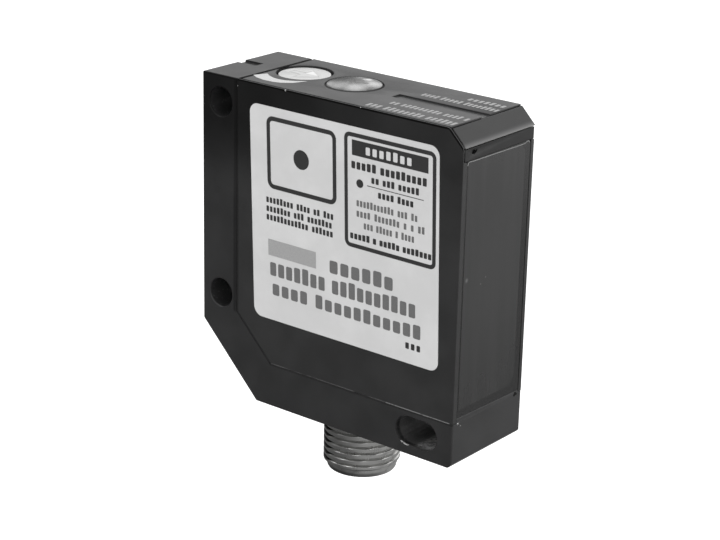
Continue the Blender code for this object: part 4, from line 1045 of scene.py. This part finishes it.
SCALE_MARK = ((7.2, -5.3), (8.5, -6.05), (10.1, -6.45), (12.0, -6.4), (13.2, -6.0), (14.5, -4.9),
              (15.4, -2.6), (14.6, -3.3), (14.1, -3.75), (12.7, -4.5), (11.5, -4.7), (10.4, -4.5),
              (9.2, -4.0), (8.2, -3.3))


def bar(*edges, radius=0.0):
    """A printed bar."""
    return rounded(*edges, radius, 4)


def glyphs(*rows):
    """Bars of uneven height that stand for the glyphs of rows; none is a letter."""
    bars = []
    for u, low, height, counts, pitch, space, share in rows:
        place = 0
        for count in counts:
            for _ in range(count):
                place += 1
                wide = pitch * share
                tall = height * GLYPH_HEIGHTS[place * 7 % len(GLYPH_HEIGHTS)]
                bars.append(bar(u, u + wide, low, low + tall, radius=min(wide, tall) * 0.2))
                u += pitch
            u += space
    return bars


def lean(outline):
    """The outline with the label's lean."""
    return [(u + (v - LEAN_MIDDLE) * LEAN, v) for u, v in outline]


def printed(outlines, sunk=0.0):
    """Printed prisms on the label."""
    return [(lean(outline), "y", PRINT_LOW, LABEL_FACE + sunk) for outline in outlines]


def build_label():
    """Sheet, a framed field with a dot, a panel with a dark heading, rows of bars and a tinted field."""
    shape = prisms((lean(rounded(*LABEL, LABEL_ROUND, 10)), "y", LABEL_LOW, LABEL_FACE + PRINT, 0.03))
    piece("label_sheet", shape, "label_film", FINISH["film"], "label")
    dots = [circle((u, v), [radius] * 48) for u, v, radius in DOTS]
    shape = prisms(*printed(dots + [bar(*LINE)] + glyphs(*BOLD_ROWS)), *printed([bar(*HEADING)], sunk=0.008))
    for field, radius, width in FIELDS:
        add_band(shape, lean(rounded(*field, radius)), width, "y", PRINT_LOW, LABEL_FACE)
    piece("label_print", shape, "label_film", FINISH["ink"])
    for name, outlines, finish in (("label_rows", glyphs(*LIGHT_ROWS), "mid_ink"),
                                   ("label_heading", glyphs(HEADING_ROW), "film"),
                                   ("label_tint", [bar(*TINT)], "grey_ink")):
        piece(name, prisms(*printed(outlines)), "label_film", FINISH[finish])


def build_marks():
    """Tapered scale mark by the adjuster and the rows printed in front of it."""
    for name, outlines, finish in (("scale_mark", [SCALE_MARK], "pale_ink"),
                                   ("top_print", glyphs(*TOP_ROWS), "worn_ink")):
        shape = prisms(*((outline, "z", TOP_Z + 0.002, TOP_Z + PRINT) for outline in outlines))
        piece(name, shape, "label_film", FINISH[finish])


build_sleeve()
build_plates()
build_cover()
build_nose()
build_window()
build_disc()
build_lens()
build_label()
build_marks()


# Studio

UP = (0.35, 0.30, 0.88)  # the surround's bright side
# Place and level of the surround's stops
SURROUND = ((0.0, 0.05), (0.15, 0.055), (0.34, 0.20), (0.56, 0.12), (0.65, 0.75), (0.92, 0.52))
SURROUND_POWER = 2.0
KEY_PLACE, KEY_AIM = (-0.55, -0.40, 0.75), (0.02, 0, 0)  # in the frame's metres
KEY_SIZE, KEY_POWER = 0.5, 1.0


def build_floor():
    """Plain pale floor under the plug."""
    shape = bmesh.new()
    bmesh.ops.create_grid(shape, x_segments=1, y_segments=1, size=4.0)
    data = bpy.data.meshes.new("floor")
    shape.to_mesh(data)
    shape.free()
    floor = put("floor", data)
    floor.location = (0, 0, CAD_BOX[0].z - 0.02)
    floor.visible_glossy = False
    g = Graph("floor_finish")
    g.set(Base_Color=g.mix(g.noise(400.0), 0.86, 0.88), Roughness=0.9, Specular_IOR_Level=0.0)
    data.materials.append(g.set(Emission_Color=(1.0, 1.0, 1.0), Emission_Strength=0.45))


def build_world():
    """Soft studio surround: bright behind and above, dim in front and below."""
    world = bpy.data.worlds.new("studio")
    bpy.context.scene.world = world
    n = Nodes(world)
    place = n.add("ShaderNodeTexCoord").outputs["Generated"]
    toward = n.add("ShaderNodeVectorMath", {0: place, 1: Vector(UP).normalized()}, operation="DOT_PRODUCT")
    scale = n.add("ShaderNodeMath", {0: toward.outputs["Value"], 1: 0.5, 2: 0.5}, operation="MULTIPLY_ADD")
    ramp = n.add("ShaderNodeValToRGB", {"Fac": scale.outputs[0]})
    ramp.color_ramp.interpolation = "EASE"
    elements = ramp.color_ramp.elements
    elements[0].position, elements[1].position = SURROUND[0][0], SURROUND[-1][0]
    for position, _ in SURROUND[1:-1]:
        elements.new(position)
    for element, (_, level) in zip(elements, SURROUND):
        element.color = (level, level, level, 1)
    back = n.tree.nodes["Background"]
    n.feed(back.inputs["Color"], ramp.outputs["Color"])
    n.feed(back.inputs["Strength"], SURROUND_POWER)


def build_key():
    """Softbox that the camera doesn't see."""
    data = bpy.data.lights.new("key", "AREA")
    data.shape, data.size, data.size_y, data.energy = "RECTANGLE", KEY_SIZE, KEY_SIZE, KEY_POWER
    lamp = put("key", data)
    lamp.location = KEY_PLACE
    lamp.rotation_euler = (Vector(KEY_AIM) - Vector(KEY_PLACE)).to_track_quat("-Z", "Y").to_euler()
    lamp.visible_camera = False


build_floor()
build_world()
build_key()
bpy.context.scene.view_settings.view_transform = "Standard"
bpy.context.scene.cycles.use_denoising = True
